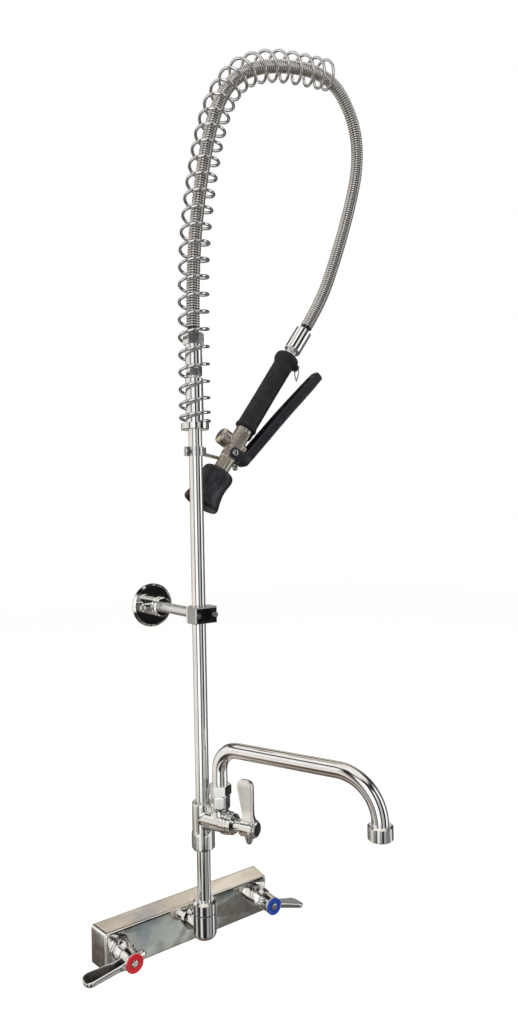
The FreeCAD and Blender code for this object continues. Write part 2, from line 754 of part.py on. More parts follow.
def swing_spout():
    start = V(spout_axis, 0, spout_seat() + 0.2)
    reach = spout_axis + spout_reach
    top = V(spout_axis, 0, spout_height)
    tip = V(reach, 0, spout_height)
    end = V(reach, 0, aerator_top - aerator_insertion())

    def corner(point, towards, onwards, radius):
        first, last = point + towards * radius, point + onwards * radius
        centre = first + onwards * radius
        middle = centre + ((first - centre) + (last - centre)).normalize() * radius
        return first, Part.Arc(first, middle, last).toShape(), last

    a, first_bend, b = corner(top, UP * -1, RIGHT, spout_first_bend)
    c, last_bend, d = corner(tip, RIGHT * -1, UP * -1, spout_last_bend)
    edges = [Part.LineSegment(start, a).toShape(), first_bend, Part.LineSegment(b, c).toShape(), last_bend,
             Part.LineSegment(d, end).toShape()]
    hollow_start = start + UP * (spout_neck_hex_top - spout_seat())
    hollow = [Part.LineSegment(hollow_start, a).toShape()] + edges[1:]
    collar = rod(spout_neck_radius - 0.2, V(spout_axis, 0, spout_thread_top() + 0.15),
                 V(spout_axis, 0, spout_nut_top - 4.15))
    body = swept(spout_radius, edges).fuse(collar).cut(swept(spout_bore_radius, hollow))
    body = body.cut(rod(spout_foot_bore, start, hollow_start + UP))
    for place in seal_places():
        groove = turned([(place - 0.1, spout_radius + 1), (place + 1.9, spout_radius + 1)],
                        [(place - 0.1, spout_radius - 1.2), (place + 1.9, spout_radius - 1.2)],
                        V(spout_axis, 0, 0))
        body = body.cut(groove)
    return body


def aerator_insertion():
    return aerator_top - aerator_bottom - aerator_insert_thickness - aerator_washer_thickness - 0.6


def aerator_pieces():
    axis = V(spout_axis + spout_reach, 0, 0)
    seat = aerator_top - aerator_insertion() - 0.1
    bottom, wide, bore = aerator_bottom, aerator_radius, spout_radius + seat_fit
    inside = aerator_insert_radius + seat_fit
    shell = turned([(bottom, wide - 1), (bottom + 1, wide), (aerator_top - 2, wide), (aerator_top, wide - 2)],
                   [(bottom, inside), (seat, inside), (seat, bore), (aerator_top, bore)], axis)
    washer = turned([(seat - aerator_washer_thickness, aerator_insert_radius), (seat, aerator_insert_radius)],
                    [(seat - aerator_washer_thickness, spout_bore_radius - 1), (seat, spout_bore_radius - 1)],
                    axis)
    insert_top = seat - aerator_washer_thickness - 0.05
    insert = rod(aerator_insert_radius, axis + UP * (insert_top - aerator_insert_thickness),
                 axis + UP * insert_top)
    holes = [rod(1.0, axis + V(ring * math.cos(turn), ring * math.sin(turn), 0) + UP * aerator_bottom,
                 axis + V(ring * math.cos(turn), ring * math.sin(turn), 0) + UP * insert_top)
             for ring, count in ((4.0, 6), (8.0, 12))
             for turn in [2 * math.pi * step / count for step in range(count)]]
    return {"aerator_shell": shell, "aerator_washer": washer, "aerator_insert": insert.cut(holes)}


# Wall bracket

def bracket_pieces():
    middle = V(0, -riser_offset, bracket_height)
    low, high = bracket_height - clamp_height / 2, bracket_height + clamp_height / 2
    split = clamp_split
    half = clamp_width / 2
    hole = rod(pipe_radius + seat_fit, V(0, -riser_offset, low), V(0, -riser_offset, high))
    screw_places = [V(side * clamp_screw_spread / 2, -riser_offset, bracket_height) for side in (-1, 1)]
    saddle = box(-half, half, -riser_offset + split, -riser_offset + clamp_saddle_depth, low, high)
    sleeve = rod(clamp_sleeve_radius, V(0, -riser_offset, low), V(0, -riser_offset, high))
    sleeve = sleeve.cut(box(-half, half, -riser_offset - half, -riser_offset + split, low, high))
    back = -riser_offset + clamp_sleeve_radius - 1
    flare = turned([(-2, clamp_height / 2 - 1), (0, clamp_height / 2 - 1), (arm_flare_length / 2, arm_radius + 1.5),
                    (arm_flare_length, arm_radius)], None, V(0, back, bracket_height), V(0, 1, 0))
    end = flange_back - wall_plate_thickness
    arm_start = back + arm_flare_length
    spigot = rod(arm_bore_radius - seat_fit, V(0, back - 1, bracket_height),
                 V(0, arm_start + arm_flare_length, bracket_height))
    clamp = joined([saddle, sleeve, flare, spigot]).cut(hole)
    front = -riser_offset - clamp_block_depth
    block = box(-half, half, front, -riser_offset - split, low, high)
    corner = [edge for edge in block.Edges
              if all(abs(vertex.Point.y - front) < 1e-6 for vertex in edge.Vertexes)]
    block = block.makeChamfer(edge_round, corner).cut(hole)
    screws = []
    for place in screw_places:
        way = rod(clamp_screw_radius + seat_fit, place - V(0, clamp_block_depth, 0),
                  place + V(0, clamp_saddle_depth, 0))
        clamp, block = clamp.cut(way), block.cut(way)
        screws.append(turned([(-2.0, 3.2), (0, 3.2), (0, clamp_screw_radius),
                              (clamp_block_depth + clamp_saddle_depth - 1, clamp_screw_radius)], None,
                             V(place.x, front, place.z), V(0, 1, 0)))
    arm = tube(arm_radius, arm_bore_radius, V(0, arm_start, bracket_height), V(0, end, bracket_height))
    return {"bracket_clamp": clamp, "bracket_clamp_block": block,
            "bracket_clamp_screws": Part.makeCompound(screws), "bracket_arm": arm,
            "bracket_flange": bracket_flange(), "bracket_set_screw": bracket_set_screw(),
            "bracket_wall_plate": bracket_wall_plate(end)}


def bracket_flange():
    face = flange_back - flange_thickness
    hub = face - bracket_hub_length
    recess = face + flange_shell
    boss_room = wall_plate_boss_radius + clear_gap
    boss_start = flange_back - wall_plate_thickness - wall_plate_boss_length - clear_gap
    bore = arm_radius + running_fit
    wide, narrow, ring = bracket_hub_radius, bracket_hub_radius - edge_round, hub + bracket_hub_ring
    flange = turned([(hub, narrow), (hub + edge_round, wide), (ring - edge_round, wide), (ring, narrow),
                     (ring + edge_round, narrow), (ring + 2 * edge_round, wide), (face, wide),
                     (face, flange_radius - 3), (face + 2, flange_radius), (flange_back, flange_radius)],
                    [(hub, bore), (boss_start, bore), (boss_start, boss_room), (recess, boss_room),
                     (recess, flange_radius - flange_shell), (flange_back, flange_radius - flange_shell)],
                    V(0, 0, bracket_height), V(0, 1, 0))
    screw_y = set_screw_place()
    screw_boss = turned([(boss_room, set_screw_boss_radius), (set_screw_boss_reach - 1, set_screw_boss_radius),
                         (set_screw_boss_reach, set_screw_boss_radius - 1)], None,
                        V(0, screw_y, bracket_height), V(-1, 0, 0))
    flange = joined([flange, screw_boss])
    return flange.cut(rod(clamp_screw_radius + seat_fit, V(0, screw_y, bracket_height),
                          V(-2 * bracket_hub_radius, screw_y, bracket_height)))


def set_screw_place():
    return flange_back - flange_thickness - bracket_hub_length / 2


def bracket_set_screw():
    screw_y = set_screw_place()
    start = arm_radius + running_fit
    head = set_screw_boss_reach
    return turned([(start, clamp_screw_radius), (head, clamp_screw_radius), (head, set_screw_head_radius),
                   (head + 2.4, set_screw_head_radius), (head + 3.2, set_screw_head_radius - 0.9)], None,
                  V(0, screw_y, bracket_height), V(-1, 0, 0))


def bracket_wall_plate(arm_end):
    face = flange_back - wall_plate_thickness
    plate = turned([(face - wall_plate_boss_length, wall_plate_boss_radius), (face, wall_plate_boss_radius),
                    (face, flange_radius - flange_shell - clear_gap),
                    (flange_back, flange_radius - flange_shell - clear_gap)],
                   [(face - wall_plate_boss_length, arm_radius + seat_fit), (arm_end + 0.01, arm_radius + seat_fit),
                    (arm_end + 0.01, 0), (flange_back, 0)], V(0, 0, bracket_height), V(0, 1, 0))
    for side in (-1, 1):
        place = V(side * wall_screw_circle / 2, 0, bracket_height)
        plate = plate.cut(rod(wall_screw_radius, place, place + V(0, flange_back + 1, 0)))
    return plate


# Finger hook

def hook_pieces():
    riser = V(0, -riser_offset, 0)
    middle = (hook_bottom + hook_top) / 2
    bore, wide = pipe_radius + seat_fit, pipe_radius + hook_band_thickness
    band = rod(wide, riser + UP * hook_bottom, riser + UP * hook_top)
    ears = box(-hook_ear_reach, 0, -riser_offset - 3.5, -riser_offset + 3.5, hook_bottom, hook_top)
    lug = box(0, hook_lug_reach, -riser_offset, -riser_offset + 9, hook_bottom + 1, hook_top)
    band = joined([band, ears, lug])
    band = band.cut(box(-2 * hook_ear_reach, 0, -riser_offset - 0.75, -riser_offset + 0.75,
                        hook_bottom - 1, hook_top + 1))
    bolt_x = -(wide + hook_ear_reach) / 2
    bolt_way = rod(1.5 + seat_fit, V(bolt_x, -riser_offset - 4, middle), V(bolt_x, -riser_offset + 4, middle))
    bolt = turned([(-2.5, 2.7), (0, 2.7), (0, 1.5), (8.5, 1.5)], None,
                  V(bolt_x, -riser_offset - 3.5, middle), V(0, 1, 0))
    edges, _ = arc_route(finger_route)
    finger_end = V(finger_route[-1])
    finger = joined([swept(finger_radius, edges), Part.makeSphere(finger_ball_radius, finger_end)])
    start, ahead = V(finger_route[0]), V(finger_route[1]) - V(finger_route[0])
    ahead.normalize()
    finger_way = rod(finger_radius + seat_fit, start - ahead * 0.02, start + ahead * 3 * finger_radius)
    band = band.cut(rod(bore, riser + UP * hook_bottom, riser + UP * hook_top))
    return {"hook_band": band.cut(bolt_way).cut(finger_way), "hook_bolt": bolt, "hook_finger": finger}


# Fittings over the riser

def riser_fittings():
    riser = V(0, -riser_offset, 0)
    bore = pipe_radius + seat_fit
    collar = turned([(collar_bottom, collar_radius - 1), (collar_bottom + 1, collar_radius),
                     (collar_top, collar_radius)], [(collar_bottom, bore), (collar_top, bore)], riser)
    neck_top = hose_nut_bottom + 4
    adapter = turned([(collar_top, sleeve_radius), (sleeve_top - 1, sleeve_radius), (sleeve_top, sleeve_radius - 1),
                      (sleeve_top, sleeve_neck_radius), (neck_top, sleeve_neck_radius)],
                     [(collar_top, bore), (riser_top + 0.1, bore), (riser_top + 0.1, hose_way_radius),
                      (neck_top, hose_way_radius)], riser)
    nut = placed(hexagon(hose_nut_hex, hose_nut_bottom, hose_nut_top), riser, UP)
    nut = nut.cut(rod(sleeve_neck_radius + seat_fit, riser + UP * hose_nut_bottom, riser + UP * (neck_top + 0.1)))
    nut = nut.cut(rod(hose_way_radius, riser + UP * hose_nut_bottom, riser + UP * hose_nut_top))
    tail = turned([(hose_nut_top, sleeve_neck_radius), (hose_nut_top + 1.3, sleeve_neck_radius),
                   (hose_nut_top + 1.3, hose_tail_radius), (hose_tail_top, hose_tail_radius)],
                  [(hose_nut_top, hose_way_radius), (hose_tail_top, hose_way_radius)], riser)
    ferrule = placed(hexagon(hose_ferrule_hex, hose_tail_top, hose_ferrule_top), riser, UP).fuse(tail)
    ferrule = ferrule.cut(rod(hose_way_radius, riser + UP * hose_nut_top, riser + UP * hose_ferrule_top))
    return {"spring_collar": collar, "hose_adapter": adapter, "hose_nut": nut,
            "hose_ferrule_lower": ferrule}


# Overhead spring

def spring_axis():
    start = (0, 0, collar_top + spring_wire / 2 + 0.3)
    points = [start] + [(reach, 0, height) for reach, height in spring_route]
    edges, _ = arc_route(points)
    return route_sampler(edges)


def spring_station(turns, length):
    """Distance along the axis after so many turns, closing at both ends."""
    foot, end, count = spring_foot_turns, spring_end_turns, spring_turns

    def pitches(turn):
        even = turn + spring_tightening * (turn - turn * turn / count) / 2
        at_foot = spring_foot_closing * foot * (1 - math.exp(-turn / foot))
        at_end = spring_end_closing * end * (math.exp((turn - count) / end) - math.exp(-count / end))
        return even - at_foot - at_end

    return length * pitches(turns) / pitches(count)


def spring_point(turns, at, length):
    centre, ahead = at(spring_station(turns, length))
    side = V(0, 1, 0)
    inner = ahead.cross(side).normalize()
    turn = 2 * math.pi * (turns + spring_start)
    mean_radius = (spring_outer - spring_wire) / 2
    return centre + inner * (mean_radius * math.cos(turn)) + side * (-mean_radius * math.sin(turn))


def spring_path():
    at, length = spring_axis()
    step = 1e-4
    quarters = math.ceil(4 * spring_turns)
    places = [spring_turns * quarter / quarters for quarter in range(quarters + 1)]

    def ahead(turns):
        low, high = max(turns - step, 0), min(turns + step, spring_turns)
        return (spring_point(high, at, length) - spring_point(low, at, length)).normalize()

    edges = []
    first, last = spring_point(0, at, length), spring_point(spring_turns, at, length)
    edges.append(Part.LineSegment(first - ahead(0) * spring_wire, first).toShape())
    for start, end in zip(places, places[1:]):
        edges += biarc(spring_point(start, at, length), ahead(start), spring_point(end, at, length), ahead(end))
    edges.append(Part.LineSegment(last, last + ahead(spring_turns) * spring_wire).toShape())
    return edges


def least_gap_between_turns():
    """Least distance between the wire's surfaces of neighbouring turns."""
    at, length = spring_axis()
    samples = 72
    points = [spring_point(step / samples, at, length) for step in range(int(samples * spring_turns) + 1)]
    least = 1e9
    for index, point in enumerate(points):
        for other in points[index + samples // 2:index + samples * 3 // 2]:
            least = min(least, (point - other).Length)
    return least - spring_wire


def overhead_spring():
    spring = swept(spring_wire / 2, spring_path())
    print("spring: least gap between turns %.2f mm" % least_gap_between_turns())
    return in_plane(spring, arch_angle)


# Spray valve, made with Z from nose to hose, X to the lever's side and Y towards the wall

def nozzle_axes():
    turn, rise = math.radians(nozzle_turn), math.radians(nozzle_rise)
    level = V(math.sin(turn), -math.cos(turn), 0)
    along = level * math.cos(rise) + UP * math.sin(rise)
    aside = level * math.sin(rise) - UP * math.cos(rise)
    return along, aside


def on_nozzle(shape):
    along, aside = nozzle_axes()
    return placed(shape, V(nozzle_place), along, aside)


def nozzle_point(place):
    return V(nozzle_place) + nozzle_axes()[0] * place


def bumper():
    waist, shoulder = bumper_waist_radius, bumper_shoulder_radius
    inner_end = bumper_length - 3
    outside = [(0, bumper_rim_radius - 1), (1, bumper_rim_radius), (4, bumper_rim_radius - 0.4),
               (24, waist), (37, waist + 0.8), (46, shoulder - 0.3), (49, shoulder), (bumper_length, waist - 2)]
    bore = [(0, bumper_rim_radius - 2.5), (spray_face_place - 2, bumper_bore_radius),
            (inner_end, bumper_bore_radius), (inner_end, neck_radius + seat_fit),
            (bumper_length, neck_radius + seat_fit)]
    return turned(outside, bore)


def spray_face():
    radius = bumper_bore_radius - seat_fit
    disc = rod(radius, V(0, 0, spray_face_place), V(0, 0, spray_face_place + spray_face_thickness))
    holes = []
    for ring, count in ((4.5, spray_holes // 2 - 1), (10.5, spray_holes)):
        for step in range(count):
            turn = 2 * math.pi * step / count
            foot = V(ring * math.cos(turn), ring * math.sin(turn), spray_face_place)
            holes.append(rod(spray_hole_radius, foot, foot + UP * spray_face_thickness))
    return disc.cut(holes)


def spray_valve_body():
    head = bumper_bore_radius - seat_fit
    face = spray_face_place + spray_face_thickness
    top = bumper_length - 3.1
    stem_part = turned([(face, head), (top, head), (top, neck_radius), (body_bottom, neck_radius),
                        (body_bottom + 1.5, body_radius), (grip_bottom - 0.3, body_radius),
                        (grip_bottom - 0.3, grip_core_radius - 3), (grip_bottom + 8, grip_core_radius - 3)])
    boss = rod(valve_boss_radius, V(-valve_boss_reach, 0, plunger_place), V(0, 0, plunger_place))
    gland = turned([(0, valve_boss_radius), (valve_gland_reach - edge_round, valve_boss_radius),
                    (valve_gland_reach, valve_boss_radius - edge_round)], None, V(0, 0, plunger_place), RIGHT)
    flats = [box(-2 * body_radius, 2 * body_radius, side * yoke_flat() if side > 0 else -2 * body_radius,
                 2 * body_radius if side > 0 else -yoke_flat(), body_bottom, grip_bottom - yoke_clear_end)
             for side in (-1, 1)]
    body = joined([stem_part, boss, gland]).cut(flats)
    dish = turned([(face - 0.1, head - 3), (face + 4, head - 3), (face + 10, nozzle_bore_radius)])
    lower_x = -valve_chamber_radius + 1
    seat = V(-4.0, 0, plunger_place)
    cuts = [dish, rod(nozzle_bore_radius - 1, V(lower_x, 0, face + 6), V(lower_x, 0, plunger_place)),
            rod(nozzle_bore_radius, V(-9, 0, plunger_place), V(-9, 0, plunger_place)
                + UP * 6),
            rod(nozzle_bore_radius - 1, V(0, 0, plunger_place + 6), V(0, 0, grip_bottom + 8)),
            rod(valve_chamber_radius, seat, V(-valve_boss_reach, 0, plunger_place)),
            rod(plunger_radius + running_fit, V(-valve_boss_reach, 0, plunger_place),
                V(valve_gland_reach, 0, plunger_place)),
            rod(pin_radius + running_fit, V(pivot_side, -body_radius, pivot_place),
                V(pivot_side, body_radius, pivot_place))]
    return body.cut(cuts)


def yoke_flat():
    return lever_gap_half - clear_gap / 2


def spray_bonnet():
    reach, wide = spray_bonnet_reach, spray_bonnet_radius
    boss, floor = valve_boss_radius + seat_fit, valve_boss_reach + 0.1
    return turned([(body_radius + clear_gap, wide - 1), (body_radius + 2, wide), (reach - 4, wide),
                   (reach - 1, wide - 2), (reach, wide - 5)],
                  [(body_radius + clear_gap, boss), (floor, boss), (floor, valve_chamber_radius),
                   (reach - 3, valve_chamber_radius), (reach - 3, 0), (reach, 0)],
                  V(0, 0, plunger_place), V(-1, 0, 0))


def plunger_head_place():
    return 9.0


def plunger():
    head = plunger_head_place()
    return turned([(-plunger_reach, plunger_radius), (head - 2.5, plunger_radius),
                   (head - 2.5, plunger_head_radius), (head, plunger_head_radius),
                   (head, plunger_radius - 0.2), (head + 5, plunger_radius - 0.2)],
                  None, V(0, 0, plunger_place), V(-1, 0, 0))


def plunger_spring():
    start = plunger_head_place() + plunger_spring_wire / 2 + 0.1
    end = spray_bonnet_reach - 3 - plunger_spring_wire / 2 - 0.1
    edges = []
    steps = plunger_spring_turns * 4

    def point(step):
        turn = math.pi / 2 * step
        return V(plunger_spring_radius * math.cos(turn), plunger_spring_radius * math.sin(turn),
                 start + (end - start) * step / steps)

    def ahead(step):
        turn = math.pi / 2 * step
        around = math.pi / 2 * plunger_spring_radius
        return V(-around * math.sin(turn), around * math.cos(turn), (end - start) / steps).normalize()

    for step in range(steps):
        edges += biarc(point(step), ahead(step), point(step + 1), ahead(step + 1))
    return placed(swept(plunger_spring_wire / 2, edges), V(0, 0, plunger_place), V(-1, 0, 0))


def pivot_pin():
    outside = lever_gap_half + lever_wall
    head = outside + pin_head_thickness
    pin = turned([(-head, pin_head_radius - 0.6), (-outside, pin_head_radius), (-outside, pin_radius),
                  (outside, pin_radius), (outside, pin_head_radius), (head, pin_head_radius - 0.6)])
    return placed(pin, V(pivot_side, 0, pivot_place), V(0, 1, 0))


def squeeze_lever():
    """Channel of two cheeks and an outer web, tapering to its tip, with an eye on the pin."""
    half = lever_gap_half + lever_wall
    spots = [(V(side, 0, place), depth) for place, side, depth in (lever_heel, lever_middle, lever_tip)]
    eye = V(pivot_side, 0, pivot_place)
    bar = [slot_plate(a, b, r, s, half) for (a, r), (b, s) in zip(spots, spots[1:])]
    yoke = slot_plate(eye, V(lever_heel[1], 0, lever_heel[0] + 4), lever_eye_radius, lever_heel[2], half)
    whole = joined(bar + [yoke])
    narrow_start, end = grip_bottom - 8, lever_tip[0] + lever_tip[2]
    bottom = lever_heel[0] - lever_heel[2] - 1

    inner_side, width = -2 * lever_heel[1], 4 * lever_heel[1] + lever_tip[1]

    def plan(inset):
        outline = [V(inner_side, -half + inset, bottom), V(inner_side, -half + inset, narrow_start),
                   V(inner_side, -lever_tip_half + inset, end), V(inner_side, lever_tip_half - inset, end),
                   V(inner_side, half - inset, narrow_start), V(inner_side, half - inset, bottom)]
        return face_of(outline).extrude(V(width, 0, 0))

    (heel, heel_depth), (middle, middle_depth), (tip, tip_depth) = spots
    floor, roof = heel.z - heel_depth + 2 * lever_wall, tip.z + tip_depth - 3 * lever_wall
    channel = face_of([V(inner_side, 0, floor), V(heel.x + heel_depth - lever_web - 2, 0, floor),
                       V(middle.x + middle_depth - lever_web, 0, middle.z),
                       V(tip.x + tip_depth - lever_web, 0, roof),
                       V(inner_side, 0, roof)]).extrude(V(0, 2 * half, 0))
    channel.translate(V(0, -half, 0))
    body_room = box(inner_side, body_radius + clear_gap, -lever_gap_half, lever_gap_half, bottom - 1, grip_bottom)
    lever = whole.common(plan(0)).cut(channel.common(plan(lever_wall))).cut(body_room)
    web_side = heel.x + heel_depth - lever_web
    pad = rod(4.0, V(plunger_reach + 0.1, 0, plunger_place), V(web_side + 1, 0, plunger_place))
    lever = joined([lever, pad])
    return lever.cut(rod(pin_radius + running_fit, eye - V(0, half, 0), eye + V(0, half, 0)))


def grip():
    bore = grip_core_radius + seat_fit
    bottom, top, low = grip_bottom, grip_top, grip_collar_bottom
    tongue = tube(grip_radius, body_radius + seat_fit, V(0, 0, bottom - grip_tongue_length), V(0, 0, bottom + 1))
    tongue = tongue.common(box(0, 2 * grip_radius, -grip_tongue_half, grip_tongue_half,
                               bottom - grip_tongue_length, bottom + 1))
    sleeve = turned([(bottom, grip_lip_radius - 1), (bottom + 1, grip_lip_radius), (bottom + 4, grip_radius),
                   (low - 3, grip_radius), (low, grip_collar_radius), (top - 1, grip_collar_radius),
                   (top, grip_collar_radius - 1)], [(bottom, bore), (top, bore)])
    return joined([sleeve, tongue])


def grip_core():
    thread = grip_core_radius - 3 + seat_fit
    return turned([(grip_bottom, grip_core_radius), (grip_top, grip_core_radius)],
                  [(grip_bottom, thread), (grip_bottom + 8.1, thread), (grip_bottom + 8.1, nozzle_bore_radius),
                   (grip_top, nozzle_bore_radius)])


def hose_swivel():
    return turned([(grip_top, swivel_radius), (swivel_top, swivel_radius)],
                  [(grip_top, nozzle_bore_radius), (swivel_top, nozzle_bore_radius)])


def hose_ferrule_upper():
    wide, top = hose_end_ferrule_radius, hose_end_ferrule_top
    return turned([(swivel_top, wide - 1), (swivel_top + 1, wide), (top - 1, wide), (top, wide - 1)],
                  [(swivel_top, nozzle_bore_radius), (top, nozzle_bore_radius)])


def ring_clip():
    half, low, high = clip_half_width, clip_place - clip_length / 2, clip_place + clip_length / 2
    lug = face_of([V(grip_radius, -half, low), V(clip_side - 1, -half, low), V(clip_side, -half, high - 1),
                   V(clip_side - 1, -half, high), V(grip_radius, -half, high)]).extrude(V(0, 2 * half, 0))
    return lug.cut(rod(grip_collar_radius, V(0, 0, low - 1), V(0, 0, high + 1))).cut(ring_bar(running_fit))


def ring_pivot():
    return V(clip_side - ring_wire_radius - 1.4, 0, clip_place + clip_length / 4)


def ring_half_width():
    return clip_half_width + ring_side_gap + ring_wire_radius


def ring_bar(extra):
    half = V(0, ring_half_width(), 0)
    return rod(ring_wire_radius + extra, ring_pivot() - half, ring_pivot() + half)


def hold_down_ring():
    wire, hang = ring_wire_radius, math.radians(ring_hang)
    down = V(math.cos(hang), 0, -math.sin(hang))
    tip = ring_pivot() + down * ring_length
    wires = [ring_bar(0), Part.makeSphere(wire, tip)]
    for way in (-1, 1):
        corner = ring_pivot() + V(0, way * ring_half_width(), 0)
        knee = corner + down * ring_side_length
        wires += [Part.makeSphere(wire, corner), Part.makeSphere(wire, knee)]
        wires += [rod(wire, corner, knee), rod(wire, knee, tip)]
    return joined(wires)


def nozzle_pieces():
    made = {"bumper": bumper(), "spray_face": spray_face(), "spray_valve_body": spray_valve_body(),
            "spray_bonnet": spray_bonnet(), "plunger": plunger(), "plunger_spring": plunger_spring(),
            "pivot_pin": pivot_pin(), "squeeze_lever": squeeze_lever(), "grip": grip(),
            "grip_core": grip_core(), "hose_swivel": hose_swivel(), "hose_ferrule_upper": hose_ferrule_upper(),
            "ring_clip": ring_clip(), "hold_down_ring": hold_down_ring()}
    return {name: on_nozzle(shape) for name, shape in made.items()}


# Hose

def hose_points():
    start = plane_point(arch_angle, 0, 0, hose_ferrule_top)
    free = [plane_point(arch_angle, *spot) for spot in hose_route]
    end = nozzle_point(hose_end_ferrule_top)
    return [start] + free + [end + nozzle_axes()[0] * hose_last_run, end]


def hose_rings(length):
    """Stations and radii of the ribs, four circles to a rib, with straight bare ends."""
    bare = 2 * hose_radius
    pitch = (length - 2 * bare) / hose_ribs
    rings = [(0.0, hose_groove_radius), (bare, hose_groove_radius)]
    for rib in range(hose_ribs):
        start = bare + rib * pitch
        rings += [(start + pitch * share, radius) for share, radius in
                  ((0.25, hose_groove_radius), (0.4, hose_radius), (0.85, hose_radius), (1.0, hose_groove_radius))]
    return rings + [(length, hose_groove_radius)]


def hose_circle(at, distance, radius, steady):
    centre, ahead = at(distance)
    across = (steady - ahead * steady.dot(ahead)).normalize()
    circle = Part.Circle()
    circle.Radius = radius
    return placed(Part.Wire(circle.toShape()), centre, ahead, across)


def flexible_hose():
    edges, radii = arc_route(hose_points())
    at, length = route_sampler(edges)
    steady = plane_point(arch_angle, 0, 1, 0) - plane_point(arch_angle, 0, 0, 0)
    rings = hose_rings(length)
    outer = Part.makeLoft([hose_circle(at, place, radius, steady) for place, radius in rings], True, True)
    bore = swept(hose_bore_radius, edges)
    hose = outer.cut(bore)
    section = math.pi * (((hose_radius + hose_groove_radius) / 2) ** 2 - hose_bore_radius ** 2)
    print("hose: length %.0f mm, arc radii %s" % (length, ", ".join("%.0f" % radius for radius in radii)))
    print("hose: volume %.0f mm3, mean section times length %.0f mm3" % (hose.Volume, section * length))
    print("hose: least gap to the spring wire %.2f mm" % hose_spring_gap(at, length))
    return hose


def hose_spring_gap(hose_at, hose_length):
    at, length = spring_axis()
    wire = [spring_point(step / 24, at, length) for step in range(int(24 * spring_turns) + 1)]
    turn = FreeCAD.Placement(V(0, -riser_offset, 0), FreeCAD.Rotation(UP, arch_angle - 90))
    wire = [turn.multVec(point) for point in wire]
    line = [hose_at(step * 2.0)[0] for step in range(int(hose_length / 2))]
    least = min((point - spot).Length for point in wire for spot in line)
    return least - spring_wire / 2 - hose_radius


def pieces():
    made = {"base_cover": base_cover(), "waterway": waterway(), "inlet_washers": inlet_washers(),
            "outlet_elbow": outlet_elbow(), "outlet_seal": outlet_seal(), "outlet_lock_nut": outlet_lock_nut(),
            "lower_nipple": lower_nipple(), "riser_pipe": pipe(add_on_top - pipe_insertion, riser_top)}
    made.update(base_valve_pieces())
    add_on = dict(add_on_valve_pieces(), spout_nut=spout_nut(), spout_seals=spout_seals(),
                  swing_spout=swing_spout(), **aerator_pieces())
    made.update({name: in_plane(shape, add_on_angle) for name, shape in add_on.items()})
    made.update(bracket_pieces())
    made.update(hook_pieces())
    made.update(riser_fittings())
    made.update(nozzle_pieces())
    made["overhead_spring"] = overhead_spring()
    made["flexible_hose"] = flexible_hose()
    return made


if __name__ == "__main__":
    os.makedirs("parts", exist_ok=True)
    for name, shape in pieces().items():
        shape.exportStep("parts/" + name + ".step")
        print("%-24s solids %d valid %s volume %.0f" % (name, len(shape.Solids), shape.isValid(), shape.Volume))
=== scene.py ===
# %% [markdown]
# # A pre rinse faucet, dressed around its frame
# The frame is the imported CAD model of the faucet: every pipe, nut and lever already has its size and place.
# This lesson gives it its looks. It keeps the turned and bent metal pieces of the frame and gives them
# real finishes, and it makes the pieces again whose form a plain solid can't show: the hose, the spring,
# the rubber and the cast or forged levers. All lengths in the lists are millimetres; a mesh is in metres.

# %% Load the frame and keep its box
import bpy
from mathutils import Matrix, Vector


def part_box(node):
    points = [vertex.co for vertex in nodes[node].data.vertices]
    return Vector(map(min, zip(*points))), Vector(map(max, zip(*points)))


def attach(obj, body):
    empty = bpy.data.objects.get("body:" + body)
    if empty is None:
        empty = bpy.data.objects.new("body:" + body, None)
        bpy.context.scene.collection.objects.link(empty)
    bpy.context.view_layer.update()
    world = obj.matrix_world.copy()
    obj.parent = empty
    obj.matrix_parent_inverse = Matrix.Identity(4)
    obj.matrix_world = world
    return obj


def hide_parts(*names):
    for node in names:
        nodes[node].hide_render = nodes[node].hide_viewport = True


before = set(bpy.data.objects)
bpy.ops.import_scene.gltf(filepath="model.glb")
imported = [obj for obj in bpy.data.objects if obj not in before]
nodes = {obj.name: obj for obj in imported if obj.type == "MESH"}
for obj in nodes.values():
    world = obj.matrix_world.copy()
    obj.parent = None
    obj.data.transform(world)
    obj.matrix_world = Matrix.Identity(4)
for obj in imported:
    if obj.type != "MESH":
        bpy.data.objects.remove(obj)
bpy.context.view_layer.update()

import math

import bmesh
import bpy
import numpy as np
from mathutils import Matrix, Vector

# %% [markdown]
# ## Camera
# The photograph is a tall picture taken a step in front of the faucet's left side, level, with the
# camera turned a degree about its own line of sight. A wide view like this makes the near handle large
# and bends nothing, so a plain perspective camera matches it: the place, the heading, the roll and the
# focal length were solved from the corners of the base and the rings on the riser.

# %% The camera
camera_place = Vector((-0.4811, -0.8641, 0.5231))
camera_heading = Vector((0.5861, 0.8102, 0.0))
camera_roll = math.radians(-1.139)
camera_lens, camera_sensor = 26.016, 36.0      # the sensor's long side, both in mm


def make_camera():
    level = camera_heading.cross(Vector((0, 0, 1)))
    up = Vector((0, 0, 1))
    across = level * math.cos(camera_roll) + up * math.sin(camera_roll)
    upward = up * math.cos(camera_roll) - level * math.sin(camera_roll)
    turn = Matrix((across, upward, -camera_heading)).transposed().to_4x4()
    camera = bpy.data.objects.new("photo_camera", bpy.data.cameras.new("photo_camera"))
    camera.data.lens, camera.data.sensor_width = camera_lens, camera_sensor
    camera.matrix_world = Matrix.Translation(camera_place) @ turn
    bpy.context.scene.collection.objects.link(camera)
    bpy.context.scene.camera = camera


make_camera()
print("camera at", [round(x, 3) for x in camera_place])

# %% [markdown]
# ## Skins
# Every new piece is one skin: rings of points, one after the other, computed as a whole array. Quads join
# neighbouring rings and a fan closes each end. The sign of the enclosed volume says whether the faces
# point outwards, so one helper can serve pipes, lathe work, levers and coils.

# %% Rings of points into a mesh
MM = 0.001


